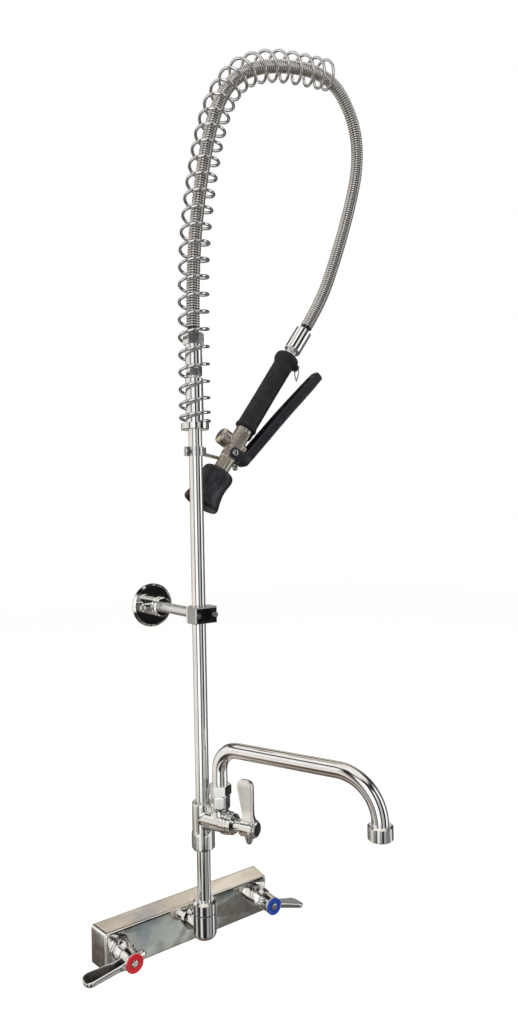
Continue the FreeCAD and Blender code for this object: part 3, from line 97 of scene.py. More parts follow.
def shown(name, points, faces, sharp):
    """An object with a smooth mesh whose edges over an angle in degrees stay sharp; points in metres."""
    mesh = bpy.data.meshes.new(name)
    mesh.from_pydata(points, [], faces)
    mesh.update()
    mesh.shade_smooth()
    mesh.set_sharp_from_angle(angle=math.radians(sharp))
    piece = bpy.data.objects.new(name, mesh)
    bpy.context.scene.collection.objects.link(piece)
    return piece


def skin(name, rings, body, ends="fan", sharp=50):
    """Closed mesh over rings (rings, points, 3) in mm: quads between rings, a fan or a loop at the ends."""
    rings = np.asarray(rings, float)
    count, around, _ = rings.shape
    row = np.arange(count if ends == "loop" else count - 1)[:, None] * around
    column = np.arange(around)[None, :]
    following = (column + 1) % around
    beyond = (row + around) % (count * around)
    quads = np.stack([row + column, row + following, beyond + following, beyond + column], -1).reshape(-1, 4)
    points = rings.reshape(-1, 3)
    faces = quads.tolist()
    if ends == "fan":
        first, last = len(points), len(points) + 1
        points = np.vstack([points, rings[0].mean(0), rings[-1].mean(0)])
        ring, after = np.arange(around), (np.arange(around) + 1) % around
        base = (count - 1) * around
        faces += np.stack([after, ring, np.full(around, first)], -1).tolist()
        faces += np.stack([base + ring, base + after, np.full(around, last)], -1).tolist()
    corners = [points[quads[:, k]] for k in range(4)]
    middle = points.mean(0)
    volume = sum(np.einsum("ij,ij->i", a - middle, np.cross(b - middle, c - middle)).sum()
                 for a, b, c in ((corners[0], corners[1], corners[2]), (corners[0], corners[2], corners[3])))
    if volume < 0:
        faces = [face[::-1] for face in faces]
    piece = shown(name, (points * MM).tolist(), faces, sharp)
    if body:
        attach(piece, body)
    return piece


def joined(name, pieces, body):
    """One mesh of several closed skins."""
    points, faces = [], []
    for piece in pieces:
        mesh, start = piece.data, len(points)
        places = np.empty(len(mesh.vertices) * 3)
        mesh.vertices.foreach_get("co", places)
        points += places.reshape(-1, 3).tolist()
        faces += [[start + index for index in polygon.vertices] for polygon in mesh.polygons]
        bpy.data.objects.remove(piece)
        bpy.data.meshes.remove(mesh)
    whole = shown(name, points, faces, 50)
    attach(whole, body)
    return whole


# %% [markdown]
# ## Places and lathe work
# The spray valve leans and turns, and the handles droop, so a piece is made on its own axes and then set
# in place: its third axis runs along the piece, and its first axis points aside. Lathe pieces are a
# profile of places and radii, with its corners softened, carried round the axis.

# %% Axes, softened lines and lathe pieces


def axes_of(along, aside):
    """Three unit rows: aside made square to along, their cross product, and along."""
    along = np.asarray(along, float) / np.linalg.norm(along)
    aside = np.asarray(aside, float) - along * np.dot(along, aside)
    aside /= np.linalg.norm(aside)
    return np.array([aside, np.cross(along, aside), along])


def set_in(points, place, axes):
    """Points on a piece's own axes, carried to the frame's axes."""
    return np.asarray(points, float) @ axes + np.asarray(place, float)


def full_turn(count):
    """Evenly spread angles once round, the first one zero."""
    return np.linspace(0, 2 * np.pi, count, endpoint=False)


def circle(count):
    """Points of the circle of radius one."""
    return np.stack([np.cos(full_turn(count)), np.sin(full_turn(count))], -1)


def squared(wave, power):
    """A cosine or sine pushed towards a square wave: its size to the power of two over power, with its sign."""
    return np.sign(wave) * np.abs(wave) ** (2 / power)


def softened(line, size, steps=4, closed=False):
    """Each corner of a line becomes a short curve: a quadratic blend from size before it to size after it."""
    line = np.asarray(line, float)
    size = np.broadcast_to(np.asarray(size, float), len(line))
    out = []
    for index, corner in enumerate(line):
        if not closed and index in (0, len(line) - 1):
            out.append(corner[None])
            continue
        before, after = line[index - 1], line[(index + 1) % len(line)]
        reach_in = min(size[index], np.linalg.norm(before - corner) * 0.48)
        reach_out = min(size[index], np.linalg.norm(after - corner) * 0.48)
        start = corner + (before - corner) / max(np.linalg.norm(before - corner), 1e-9) * reach_in
        end = corner + (after - corner) / max(np.linalg.norm(after - corner), 1e-9) * reach_out
        share = np.linspace(0, 1, steps + 1)[:, None]
        out.append((1 - share) ** 2 * start + 2 * share * (1 - share) * corner + share ** 2 * end)
    return np.vstack(out)


def carried_round(profile, around):
    """Circles round the third axis, one for each (place, radius) of a profile."""
    turn, radius, station = full_turn(around), profile[:, 1][:, None], profile[:, 0][:, None]
    return np.stack([radius * np.cos(turn), radius * np.sin(turn), station + 0 * turn], -1)


def lathe(name, profile, place, axes, body, soft=0.6, around=96, steps=4):
    """A softened (place, radius) profile carried round the third axis."""
    rings = carried_round(softened(profile, soft, steps), around)
    return skin(name, set_in(rings, place, axes), body)


def along_path(path, outlines, steady):
    """Rings that carry outlines (rings, points, 2) along a path: first towards steady, second across."""
    ahead = np.gradient(path, axis=0)
    ahead /= np.linalg.norm(ahead, axis=1)[:, None]
    steady = np.broadcast_to(np.asarray(steady, float), path.shape)
    first = steady - ahead * np.einsum("ij,ij->i", steady, ahead)[:, None]
    first /= np.linalg.norm(first, axis=1)[:, None]
    second = np.cross(ahead, first)
    return path[:, None] + outlines[..., :1] * first[:, None] + outlines[..., 1:] * second[:, None]


print("helpers ready")

# %% [markdown]
# ## The hose and the spring's line
# The hose is a length of ribbed stainless strip: it leaves the fitting over the riser, runs up
# inside the spring, hangs over its end and comes down into the spray valve. Its line is one smooth
# NURBS spline whose control points are the route's points. The spring's middle line is made the same way,
# so both lie in the same bent plane, which is turned from the wall's normal by 85 degrees.

# %% The bent plane and NURBS lines
arch_angle = math.radians(85)
riser_foot = np.array((0.0, -66.0, 0.0))
arch_outward = np.array((math.sin(arch_angle), -math.cos(arch_angle), 0.0))
arch_wallward = np.array((math.cos(arch_angle), math.sin(arch_angle), 0.0))


def arch_points(spots):
    """(reach, aside, height) in the bent plane, carried to the frame's axes."""
    spots = np.asarray(spots, float)
    level = riser_foot + spots[:, :1] * arch_outward + spots[:, 1:2] * arch_wallward
    return level + spots[:, 2:] * [[0, 0, 1]]


def spline_line(points, resolution=80):
    """Points read from the NURBS spline of order 3 that has these control points, in mm."""
    curve = bpy.data.curves.new("line", "CURVE")
    curve.dimensions = "3D"
    curve.resolution_u = resolution
    spline = curve.splines.new("NURBS")
    spline.points.add(len(points) - 1)
    spline.points.foreach_set("co", np.hstack([points * MM, np.ones((len(points), 1))]).ravel())
    spline.order_u = 3
    spline.use_endpoint_u = True
    holder = bpy.data.objects.new("line", curve)
    bpy.context.scene.collection.objects.link(holder)
    bpy.context.view_layer.update()
    mesh = bpy.data.meshes.new_from_object(holder)
    line = np.empty(len(mesh.vertices) * 3)
    mesh.vertices.foreach_get("co", line)
    bpy.data.objects.remove(holder)
    bpy.data.curves.remove(curve)
    bpy.data.meshes.remove(mesh)
    return line.reshape(-1, 3) / MM


def stations_of(line):
    """Distance from the start to each point of a line."""
    return np.concatenate([[0], np.cumsum(np.linalg.norm(np.diff(line, axis=0), axis=1))])


def points_at(line, distances):
    """Points of a line at these distances along it."""
    stations = stations_of(line)
    return np.stack([np.interp(distances, stations, line[:, k]) for k in range(3)], -1)


# %% The spray valve's axes and the hose's line
nozzle_turn, nozzle_rise = math.radians(83.0), math.radians(55.7)
nozzle_place = np.array((22.2, -37.5, 534.4))
nozzle_level = np.array((math.sin(nozzle_turn), -math.cos(nozzle_turn), 0.0))
nozzle_along = nozzle_level * math.cos(nozzle_rise) + np.array((0, 0, math.sin(nozzle_rise)))
nozzle_aside = nozzle_level * math.sin(nozzle_rise) - np.array((0, 0, math.cos(nozzle_rise)))
nozzle_axes = axes_of(nozzle_along, nozzle_aside)

hose_start_height, hose_end_place, hose_last_run = 749.0, 293.5, 50.0
hose_spots = [(0, 0, 815), (9.5, 0, 915), (32, 0, 1030), (65, 0, 1091), (125, 0, 1124.5), (222, 2, 1139.5),
              (267, 5, 1088), (277, 9, 1028), (262, 14, 958), (237, 20, 878)]
hose_end = nozzle_place + nozzle_along * hose_end_place
hose_route = np.vstack([arch_points([(0, 0, hose_start_height)]), arch_points(hose_spots),
                        hose_end + nozzle_along * hose_last_run, hose_end])
hose_line = spline_line(hose_route)
hose_length = stations_of(hose_line)[-1]
print("hose:", len(hose_route), "route points, length", round(hose_length, 1), "mm")

# %% [markdown]
# The hose's skin is a strip wound into flat ribs. A plain tube with a bump texture would have a smooth
# outline, and the ribs show most at the outline, so they are real: six circles make each rib, and the
# last few millimetres at both ends are smooth where the fittings grip it.

# %% The ribbed hose
rib_pitch, rib_radius, groove_radius, hose_sides = 3.2, 8.5, 7.2, 30
hose_bare_ends = 12       # length in mm that carries no ribs, both ends together
rib_shape = np.array([(0.0, 0.0), (0.12, 0.0), (0.28, 0.80), (0.46, 1.0), (0.66, 1.0), (0.84, 0.80)])


def ribbed_hose():
    """Circles along the hose's line whose radius rises from groove to rib and back once in every pitch."""
    ribs = int((hose_length - hose_bare_ends) / rib_pitch)
    start = (hose_length - ribs * rib_pitch) / 2
    station = (start + rib_pitch * (np.arange(ribs)[:, None] + rib_shape[:, 0])).ravel()
    radius = groove_radius + (rib_radius - groove_radius) * np.tile(rib_shape[:, 1], ribs)
    station = np.concatenate([[0], station, [start + ribs * rib_pitch, hose_length]])
    radius = np.concatenate([[groove_radius], radius, [groove_radius, groove_radius]])
    outlines = radius[:, None, None] * circle(hose_sides)
    path = points_at(hose_line, station)
    print("hose:", ribs, "ribs")
    piece = skin("ribbed_hose", along_path(path, outlines, arch_wallward), "faucet", sharp=80)
    # crest is the rib's height from groove to top; the hose's finish also uses it as the mask for painted shade
    # in the grooves
    crest = np.repeat((radius - groove_radius) / (rib_radius - groove_radius), hose_sides)
    crest = np.concatenate([crest, [0, 0]])
    piece.data.attributes.new("crest", "FLOAT", "POINT").data.foreach_set("value", crest)
    return piece


hose = ribbed_hose()
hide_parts("flexible_hose")

# %% [markdown]
# ## The overhead spring
# A spring is one wire whose turns lie evenly, but close up at both ends. The wire is carried along a
# helix round the arched middle line: the angle grows steadily with the turns, while the distance along
# the line grows by a formula that is slow at the foot and at the end.

# %% The spring's helix
spring_wire, spring_mean, spring_turns, spring_start, wire_sides = 4.0, 18.0, 30.55, 0.29, 14
spring_spots = [(0, 0, 637.9), (0, 0, 815), (9.5, 0, 915), (33, 0, 1030), (66, 0, 1092), (117, 0, 1121),
                (172, 0, 1130.5), (219, 0, 1135)]


def open_turns(turn):
    """Even turns plus a slight tightening, less what is closed up at the foot and at the end."""
    even = turn + 0.083 * (turn - turn ** 2 / spring_turns) / 2
    at_foot = 0.93 * (1 - np.exp(-turn))
    at_end = 0.75 * 0.9 * (np.exp((turn - spring_turns) / 0.9) - math.exp(-spring_turns / 0.9))
    return even - at_foot - at_end


def spring_helix(samples_per_turn=44):
    """Middle of the wire: the line's point plus the mean radius, turned in the plane square to the line."""
    line = spline_line(arch_points(spring_spots))
    length = stations_of(line)[-1]
    turn = np.linspace(0, spring_turns, int(spring_turns * samples_per_turn))
    station = length * open_turns(turn) / open_turns(np.array([spring_turns]))[0]
    centre = points_at(line, station)
    ahead = points_at(line, np.minimum(station + 2, length)) - points_at(line, np.maximum(station - 2, 0))
    ahead /= np.linalg.norm(ahead, axis=1)[:, None]
    inner = np.cross(ahead, arch_wallward)
    inner /= np.linalg.norm(inner, axis=1)[:, None]
    angle = 2 * np.pi * (turn + spring_start)[:, None]
    outward = inner * np.cos(angle) - arch_wallward * np.sin(angle)
    return centre + spring_mean * outward, outward


def coil_spring():
    """A round wire along the helix, cut square at both ends."""
    path, outward = spring_helix()
    outlines = np.broadcast_to(spring_wire / 2 * circle(wire_sides), (len(path), wire_sides, 2))
    apart = np.linalg.norm(path[:, None, :] - hose_line[None, ::12, :], axis=2).min()
    clear = apart - spring_wire / 2 - rib_radius
    print("spring: wire", round(stations_of(path)[-1]), "mm long, least gap to the hose", round(clear, 2), "mm")
    return skin("coil_spring", along_path(path, outlines, outward), "faucet", sharp=60)


spring = coil_spring()
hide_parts("overhead_spring")

# %% [markdown]
# ## The rubber bumper and the grip
# Both are moulded rubber pulled over metal, so all their edges are round. The bumper is a bell: a thick
# lip, a waist and a rounded shoulder. The grip is a long sleeve with a lip below, a mushroom shaped
# collar on top and a short tongue under the squeeze lever. They are lathe work with generous softening.

# %% Bumper and grip


def on_nozzle(points):
    return set_in(points, nozzle_place, nozzle_axes)


def rubber_bumper():
    profile = [(19, 0), (19, 16.9), (6, 18.6), (1.0, 21.6), (0, 23.2), (1.6, 24.5), (6.5, 24.2), (14, 22.0),
               (24, 20.2), (33, 20.2), (41, 21.4), (47, 21.8), (51.5, 20.3), (53, 16.5), (53, 10.6),
               (50, 10.55), (50, 0)]
    return lathe("rubber_bumper", profile, nozzle_place, nozzle_axes, "faucet", soft=2.4, around=80, steps=5)


def grip_sleeve():
    profile = [(121.4, 0), (121.4, 12.2), (121.6, 14.4), (123.2, 15.3), (125.4, 15.0), (128, 13.9),
               (133, 13.75), (180, 13.6), (228, 13.8), (232, 14.2), (235.2, 16.2), (238, 17.1), (243, 17.1),
               (246, 16.0), (247, 13), (247, 0)]
    return lathe("grip_sleeve", profile, nozzle_place, nozzle_axes, None, soft=1.8, around=72, steps=4)


def grip_tongue():
    """Arcs of the sleeve's wall, each a closed ring, that narrow towards the tongue's rounded end."""
    places = np.array([110.8, 111.3, 112.4, 114.5, 118, 124])
    half = np.radians([16, 24, 31, 35, 36, 37])
    inset = np.array([0.9, 0.45, 0.12, 0, 0, 0])
    share = np.concatenate([np.linspace(-1, 1, 12), np.linspace(1, -1, 12)])
    outer = np.concatenate([np.full(12, 13.8), np.full(12, 11.45)])
    radius = outer[None] - np.sign(outer - 12.6)[None] * inset[:, None]
    angle = half[:, None] * share[None]
    rings = np.stack([radius * np.cos(angle), radius * np.sin(angle), places[:, None] + 0 * angle], -1)
    return skin("tongue", on_nozzle(rings), None)


bumper = rubber_bumper()
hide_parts("bumper")
grip = joined("rubber_grip", [grip_sleeve(), grip_tongue()], "faucet")
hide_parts("grip")
print("bumper and grip:", len(bumper.data.polygons), "and", len(grip.data.polygons), "faces")

# %% [markdown]
# ## The squeeze lever
# The lever is a pressed channel with a thick coat of black: its back is broad and rounded, the two
# cheeks run down to rings on the pivot screw, and it stands further from the grip towards its tip. One
# outline, a rounded bar whose inner side is pushed in to form the channel, is carried along a bent line.

# %% The lever's bar and rings
lever_spots = np.array([(18.9, 0, 75.6), (20.0, 0, 82), (24.0, 0, 105), (28.3, 0, 130), (35.8, 0, 173),
                        (43.9, 0, 212), (50.4, 0, 244), (53.0, 0, 257.2)])
lever_wall = 2.0
pivot_aside, pivot_along = 0.9, 82.6      # the pivot's place on the spray valve's axes


def bar_outline(half_depth, half_width, channel):
    """Points of a rounded bar (rings, points, 2), depth first; its inner side is pushed in by the channel."""
    turn = full_turn(96) + np.pi / 96
    depth = squared(np.cos(turn), 5.0) * half_depth[:, None]
    width = squared(np.sin(turn), 5.0) * half_width[:, None]
    wall = half_width[:, None] - lever_wall
    inner = (np.cos(turn) < 0)[None] & (np.abs(width) < wall)
    pushed = np.where(inner, channel[:, None] * np.clip((wall - np.abs(width)) / 0.5, 0, 1), 0)
    return np.stack([depth + pushed, width], -1)


def lever_bar():
    line = spline_line(lever_spots, 24)
    stations = stations_of(line)
    share = np.linspace(0, 1, 90)
    share = np.concatenate([[0, 0.003, 0.008, 0.015], share[2:-3], [0.975, 0.985, 0.993, 0.998, 1.0]])
    path = points_at(line, share * stations[-1])
    end_round = np.sqrt(np.clip(1 - np.clip((share - 0.972) / 0.028, 0, 1) ** 2.6, 0.02, 1))
    start_round = np.sqrt(np.clip(1 - np.clip((0.03 - share) / 0.03, 0, 1) ** 2, 0.02, 1))
    half_depth = np.interp(share, [0, 0.1, 0.5, 0.85, 1], [7.0, 7.4, 7.6, 7.6, 6.6]) * end_round * start_round
    half_width = np.interp(share, [0, 0.3, 0.6, 0.9, 1], [11.6, 11.6, 10.4, 8.8, 8.2]) * end_round * start_round
    channel = np.interp(share, [0, 0.04, 0.09, 0.5, 0.90, 0.95, 1], [0, 0, 10.6, 11.4, 11.4, 0, 0])
    rings = along_path(path, bar_outline(half_depth, half_width, channel), (1, 0, -0.2))
    return skin("bar", on_nozzle(rings), None)


def cheek(side):
    """A plate between two circles, the ring on the pin and the heel, with rounded rims."""
    inner_side, radius = 9.4, 7.1
    rim = circle(48)
    ring_centre, heel_centre = np.array((pivot_aside, pivot_along)), np.array((19.5, 84.0))
    towards = (heel_centre - ring_centre) / np.linalg.norm(heel_centre - ring_centre)
    share = rim @ towards
    centre = np.where((share > 0)[:, None], heel_centre, ring_centre)
    insets = [(0.0, 0.9), (0.25, 0.35), (0.8, 0.0), (1.6, 0.0), (2.2, 0.35), (2.45, 0.9)]
    rings = []
    for level, inset in insets:
        flat = centre + rim * (radius - inset)
        rings.append(np.stack([flat[:, 0], np.full(len(rim), side * (inner_side + level)), flat[:, 1]], -1))
    return skin("cheek", on_nozzle(rings), None)


def pivot_screw():
    """A pin with a domed head on each side, on the line through both rings."""
    half = [(0.0, 2.9), (11.9, 2.9), (11.9, 4.3), (12.7, 4.1), (13.3, 2.6), (13.45, 0.0)]
    profile = [(-place, radius) for place, radius in half[:0:-1]] + half[1:]
    across = np.cross(nozzle_along, nozzle_aside)
    place, axes = on_nozzle([pivot_aside, 0, pivot_along]), axes_of(across, nozzle_along)
    return lathe("pivot_screw", profile, place, axes, "faucet", soft=0.4, around=40, steps=3)


lever = joined("lever_handle", [lever_bar(), cheek(1), cheek(-1)], "trigger")
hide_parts("squeeze_lever")
screw = pivot_screw()
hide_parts("pivot_pin")
print("squeeze lever:", len(lever.data.polygons), "faces")

# %% [markdown]
# ## Wrist blade handles
# Each handle is a polished casting: a hub, a blade that widens from the hub to a round tip, and a short
# stub on the other side. The blade is a rounded outline that grows along its length and closes at the
# tip; it flares where it meets the hub, the way a casting's fillet does. Two hubs end flat under a
# coloured ring, and the add-on valve's hub is dished round its screw.

# %% One handle, placed three times
handle_hub_length = 19.5
blade_root, blade_tip, blade_thick, blade_sweep = 13.0, 22.4, 7.0, 5.0
blade_straight, blade_end = 48, 10      # from the stem's axis to the round end, and the end's own length
stub_straight, stub_end = 12, 8


def rounded_outline(half_width, half_thick, power=6.5, points=48):
    """Outlines between an ellipse, at power two, and a rectangle, at a high power."""
    wide, thick = squared(np.cos(full_turn(points)), power), squared(np.sin(full_turn(points)), power)
    return np.stack([thick * half_thick[:, None], wide * half_width[:, None]], -1)


def blade_handle(name, place, along, towards, droop, body, hub_end):
    """Hub, blade and stub on the stem's axes, turned by the droop about the stem."""
    axes = axes_of(along, towards)
    turned = np.array([axes[0] * math.cos(droop) + axes[1] * math.sin(droop),
                       axes[1] * math.cos(droop) - axes[0] * math.sin(droop), axes[2]])
    top, middle = handle_hub_length, handle_hub_length / 2
    hub = [(0, 0), (0, 9.6), (1.2, 11.0), (6, 10.7), (14, 10.7), (top - 2.4, 11.0)] + hub_end
    pieces = [lathe("hub", hub, place, turned, None, soft=0.9, around=64)]
    reach = np.concatenate([np.linspace(2, 14, 7), np.linspace(17, blade_straight, 12),
                            blade_straight + blade_end * np.sin(np.linspace(0.1, 1, 12) * np.pi / 2)])
    grow = np.clip((reach - 8) / (blade_straight - 8), 0, 1)
    past = np.clip((reach - blade_straight) / blade_end, 0, 1)
    tip = np.clip(1 - past ** 2.6, 0.0004, 1) ** (1 / 2.3)
    flare = np.exp(-np.clip(reach - 9, 0, None) / 3.2)
    half_width = (blade_root / 2 + (blade_tip - blade_root) / 2 * grow + 2.2 * flare) * tip
    half_thick = (blade_thick / 2 * (1.0 - 0.12 * grow) + 2.0 * flare) * np.sqrt(tip)
    path = np.stack([reach, 0 * reach, middle + 1 - blade_sweep * reach / blade_straight], -1)
    rings = along_path(path, rounded_outline(half_width, half_thick), (0, 1, 0))
    pieces.append(skin("blade", set_in(rings, place, turned), None))
    reach = np.concatenate([np.linspace(-2, -stub_straight, 6),
                            -stub_straight - stub_end * np.sin(np.linspace(0.15, 1, 8) * np.pi / 2)])
    ball = np.sqrt(np.clip(1 - np.clip((-stub_straight - reach) / stub_end, 0, 1) ** 2, 0.0004, 1))
    width = (4.8 + 1.4 * np.exp(-np.clip(-reach - 9, 0, None) / 2.0)) * ball
    path = np.stack([reach, 0 * reach, middle + 0 * reach], -1)
    rings = along_path(path, rounded_outline(width, width, 2.0, 32), (0, 0, 1))
    pieces.append(skin("stub", set_in(rings, place, turned), None))
    return joined(name, pieces, body)


cover_deep, bonnet_length, hub_gap, half_centres = 34.0, 21.0, 0.5, 101.6
handle_floor = cover_deep + bonnet_length + hub_gap
hot_place, cold_place = np.array((-half_centres, -handle_floor, 0)), np.array((half_centres, -handle_floor, 0))
add_on_turn = math.radians(22)
add_on_outward = np.array((math.sin(add_on_turn), -math.cos(add_on_turn), 0))
chamber_end, add_on_bonnet_length, add_on_height = 33.7, 25.0, 142.6
add_on_place = riser_foot + add_on_outward * (chamber_end + add_on_bonnet_length + hub_gap)
add_on_place = add_on_place + np.array((0, 0, add_on_height))
flat_end = [(handle_hub_length - down, radius) for down, radius in [(1.2, 10.8), (1.1, 10.3), (1.1, 0)]]
dished_end = [(handle_hub_length - down, radius) for down, radius in
              [(1.4, 10.9), (0.1, 9.8), (0.3, 8.9), (1.6, 7.4), (1.7, 5.9), (0.7, 4.9), (0.7, 0)]]
forward, left, right, upward = (0, -1, 0), (-1, 0, 0), (1, 0, 0), (0, 0, 1)
handles = [("hot_blade", hot_place, forward, left, math.radians(8), "hot_handle", flat_end, "hot_lever"),
           ("cold_blade", cold_place, forward, right, math.radians(-19), "cold_handle", flat_end, "cold_lever"),
           ("add_on_blade", add_on_place, add_on_outward, upward, 0.0, "add_on_handle", dished_end,
            "add_on_lever")]
blades = []
for name, place, along, towards, droop, body, hub_end, node in handles:
    blade = blade_handle(name, place, along, towards, droop, body, hub_end)
    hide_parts(node)
    blades.append(blade)
    low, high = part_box(node)
    print(name, "CAD", [round(v * 1000, 1) for v in (*low, *high)], "visual",
          [round(v * 1000, 1) for v in (*blade.bound_box[0], *blade.bound_box[6])])
print("handles:", [len(blade.data.polygons) for blade in blades], "faces")

# %% [markdown]
# The red and blue rings tell hot from cold. They cover the hub's whole face, with a raised rim and a
# slightly hollow face round the screw.

# %% Index rings


def index_ring(name, place, body, node):
    top = handle_hub_length
    profile = [(top - 1.1, 4.3), (top - 1.1, 10.7), (top + 0.3, 11.1), (top + 1.2, 10.7), (top + 1.5, 9.7),
               (top + 0.9, 8.0), (top + 0.8, 5.6), (top + 0.9, 4.3)]
    rings = carried_round(softened(profile, 0.5, 3, closed=True), 72).swapaxes(0, 1)
    ring = skin(name, set_in(rings, place, axes_of(forward, right)), body, ends="loop")
    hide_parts(node)
    return ring


hot_ring = index_ring("hot_ring", hot_place, "hot_handle", "hot_index")
cold_ring = index_ring("cold_ring", cold_place, "cold_handle", "cold_index")

# %% [markdown]
# ## The base cover
# The cover is a pressed box with drafted ends, open at the wall. Its edges decide how it looks: each
# rounded edge gathers the light in one thin line. So the outline is a rectangle with rounded corners, and
# it shrinks near the front the way a quarter circle does.

# %% The base cover
cover_back, cover_front, cover_top, cover_bottom = 247.0, 237.0, 20.5, -27.5
cover_wall, rim_round, corner_round = 1.5, 1.2, 3.2


def box_ring(half_length, top, bottom, depth, corner, points=8):
    """A rectangle with rounded corners at one depth from the wall."""
    quarter = np.linspace(0, np.pi / 2, points)
    centres = [(half_length - corner, top - corner, 0), (-half_length + corner, top - corner, 1),
               (-half_length + corner, bottom + corner, 2), (half_length - corner, bottom + corner, 3)]
    ring = [np.stack([x + corner * np.cos(quarter + k * np.pi / 2), np.full(points, -depth),
                      z + corner * np.sin(quarter + k * np.pi / 2)], -1) for x, z, k in centres]
    return np.vstack(ring)


def cover_rings(wall, start, front_round):
    """Rings from the wall to the front face, set in by the wall's thickness, with a rounded front edge."""
    slope = (cover_back - cover_front) / 2 / cover_deep
    deep = cover_deep - wall
    turn = np.linspace(0, np.pi / 2, 7)
    rings = []
    for depth, inset in [(start, 0.0), (start + 6, 0.0), (deep - front_round - 4, 0.0)] + [
            (deep - front_round + front_round * math.sin(a), front_round * (1 - math.cos(a))) for a in turn]:
        half = cover_back / 2 - slope * depth - wall - inset
        rings.append(box_ring(half, cover_top - wall - inset, cover_bottom + wall + inset, depth,
                              corner_round - wall * 0.8))
    return np.array(rings)


def cover_box():
    """The inner skin, the rounded rim on the wall and the outer skin, as one run of rings."""
    outer, inner = cover_rings(0.0, rim_round, 2.2), cover_rings(cover_wall, 0.0, 1.4)
    rim = []
    for a in np.linspace(0, np.pi / 2, 5)[:-1]:
        inset = rim_round * (1 - math.sin(a))
        rim.append(box_ring(cover_back / 2 - inset, cover_top - inset, cover_bottom + inset,
                            rim_round * (1 - math.cos(a)), corner_round))
    return skin("cover_box", np.concatenate([inner[::-1], rim, outer]), "faucet", sharp=40)


cover = cover_box()
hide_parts("base_cover")
print("cover:", len(cover.data.polygons), "faces")

# %% [markdown]
# ## Cast bodies
# The add-on valve and the spray valve's body are castings: their parts grow into each other with
# fillets. Writing every fillet as a surface would be long. A founder's pattern is carved and sanded
# instead, and so is this: a copy of the solid is merged, rebuilt from small cubes and smoothed.

# %% Carve and sand a copy of a solid


def cast_copy(name, sources, body, grain, passes):
    """Copies of the nodes' meshes, merged, remeshed with cubes of the grain's size and smoothed."""
    mesh = nodes[sources[0]].data.copy()
    mesh.name = name
    work = bmesh.new()
    for source in sources:
        work.from_mesh(nodes[source].data)
    bmesh.ops.remove_doubles(work, verts=work.verts, dist=1e-6)
    work.to_mesh(mesh)
    work.free()
    mesh.materials.clear()
    piece = bpy.data.objects.new(name, mesh)
    bpy.context.scene.collection.objects.link(piece)
    remesh = piece.modifiers.new("remesh", "REMESH")
    remesh.mode, remesh.voxel_size, remesh.use_smooth_shade = "VOXEL", grain * MM, True
    smooth = piece.modifiers.new("smooth", "SMOOTH")
    smooth.factor, smooth.iterations = 0.5, passes
    bpy.context.view_layer.update()
    finished = piece.evaluated_get(bpy.context.evaluated_depsgraph_get())
    made = bpy.data.meshes.new_from_object(finished)
    piece.modifiers.clear()
    piece.data = made
    made.name = name
    made.shade_smooth()
    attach(piece, body)
    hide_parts(*sources)
    print(name, "has", len(made.polygons), "faces")
    return piece


spray_casting = cast_copy("spray_casting", ["spray_valve_body", "spray_bonnet"], "faucet", 0.7, 18)
add_on_casting = cast_copy("add_on_casting", ["add_on_body"], "faucet", 0.7, 16)

# %% [markdown]
# ## Finishes
# Chrome has almost no colour of its own: it shows the room. What makes it real is what disturbs the
# picture in it: a polishing wheel leaves soft waves, hands leave faint clouds, and castings keep a
# skin under the plate. Each finish is one node tree on Object coordinates, so the grain is the same size
# everywhere and stays with the piece.

# %% Helpers for finishes


def new_finish(name, colour, metallic, roughness):
    """A Principled material; every uniform number is set on the shader's own socket."""
    material = bpy.data.materials.new(name)
    material.use_nodes = True
    tree = material.node_tree
    shader = tree.nodes["Principled BSDF"]
    shader.inputs["Base Color"].default_value = (*colour, 1)
    shader.inputs["Metallic"].default_value = metallic
    shader.inputs["Roughness"].default_value = roughness
    return material, tree, shader


def noise_of(tree, scale, detail):
    """Noise on Object coordinates."""
    place, noise = tree.nodes.new("ShaderNodeTexCoord"), tree.nodes.new("ShaderNodeTexNoise")
    noise.inputs["Scale"].default_value = scale
    noise.inputs["Detail"].default_value = detail
    tree.links.new(place.outputs["Object"], noise.inputs["Vector"])
    return noise.outputs["Fac"]


noise_low, noise_high = 0.35, 0.65      # nearly all of the noise lies between these


def ranged(tree, value, low, high):
    """Noise spread over low to high."""
    spread = tree.nodes.new("ShaderNodeMapRange")
    spread.inputs["From Min"].default_value, spread.inputs["From Max"].default_value = noise_low, noise_high
    spread.inputs["To Min"].default_value, spread.inputs["To Max"].default_value = low, high
    tree.links.new(value, spread.inputs["Value"])
    return spread.outputs["Result"]


def ramp_of(tree, value, stops):
    """A colour ramp that reads a value, with stops of (place, colour)."""
    ramp = tree.nodes.new("ShaderNodeValToRGB")
    elements = ramp.color_ramp.elements
    while len(elements) < len(stops):
        elements.new(0.5)
    for element, (place, colour) in zip(elements, stops):
        element.position, element.color = place, (*colour, 1)
    tree.links.new(value, ramp.inputs["Fac"])
    return ramp


def tinted(tree, value, stops):
    """Base colour that drifts through near colours with a value, as hands and polish leave it."""
    base = tree.nodes["Principled BSDF"].inputs["Base Color"]
    tree.links.new(ramp_of(tree, value, stops).outputs["Color"], base)


def bumped(tree, shader, layers, edge=0.0):
    """Bump layers, (height, distance in metres, strength), over normals that are rounded at the edges."""
    normal = None
    if edge:
        bevel = tree.nodes.new("ShaderNodeBevel")
        bevel.samples = 4
        bevel.inputs["Radius"].default_value = edge * MM
        normal = bevel.outputs["Normal"]
    for height, distance, strength in layers:
        bump = tree.nodes.new("ShaderNodeBump")
        bump.inputs["Distance"].default_value = distance
        bump.inputs["Strength"].default_value = strength
        tree.links.new(height, bump.inputs["Height"])
        if normal:
            tree.links.new(normal, bump.inputs["Normal"])
        normal = bump.outputs["Normal"]
    if normal:
        tree.links.new(normal, shader.inputs["Normal"])


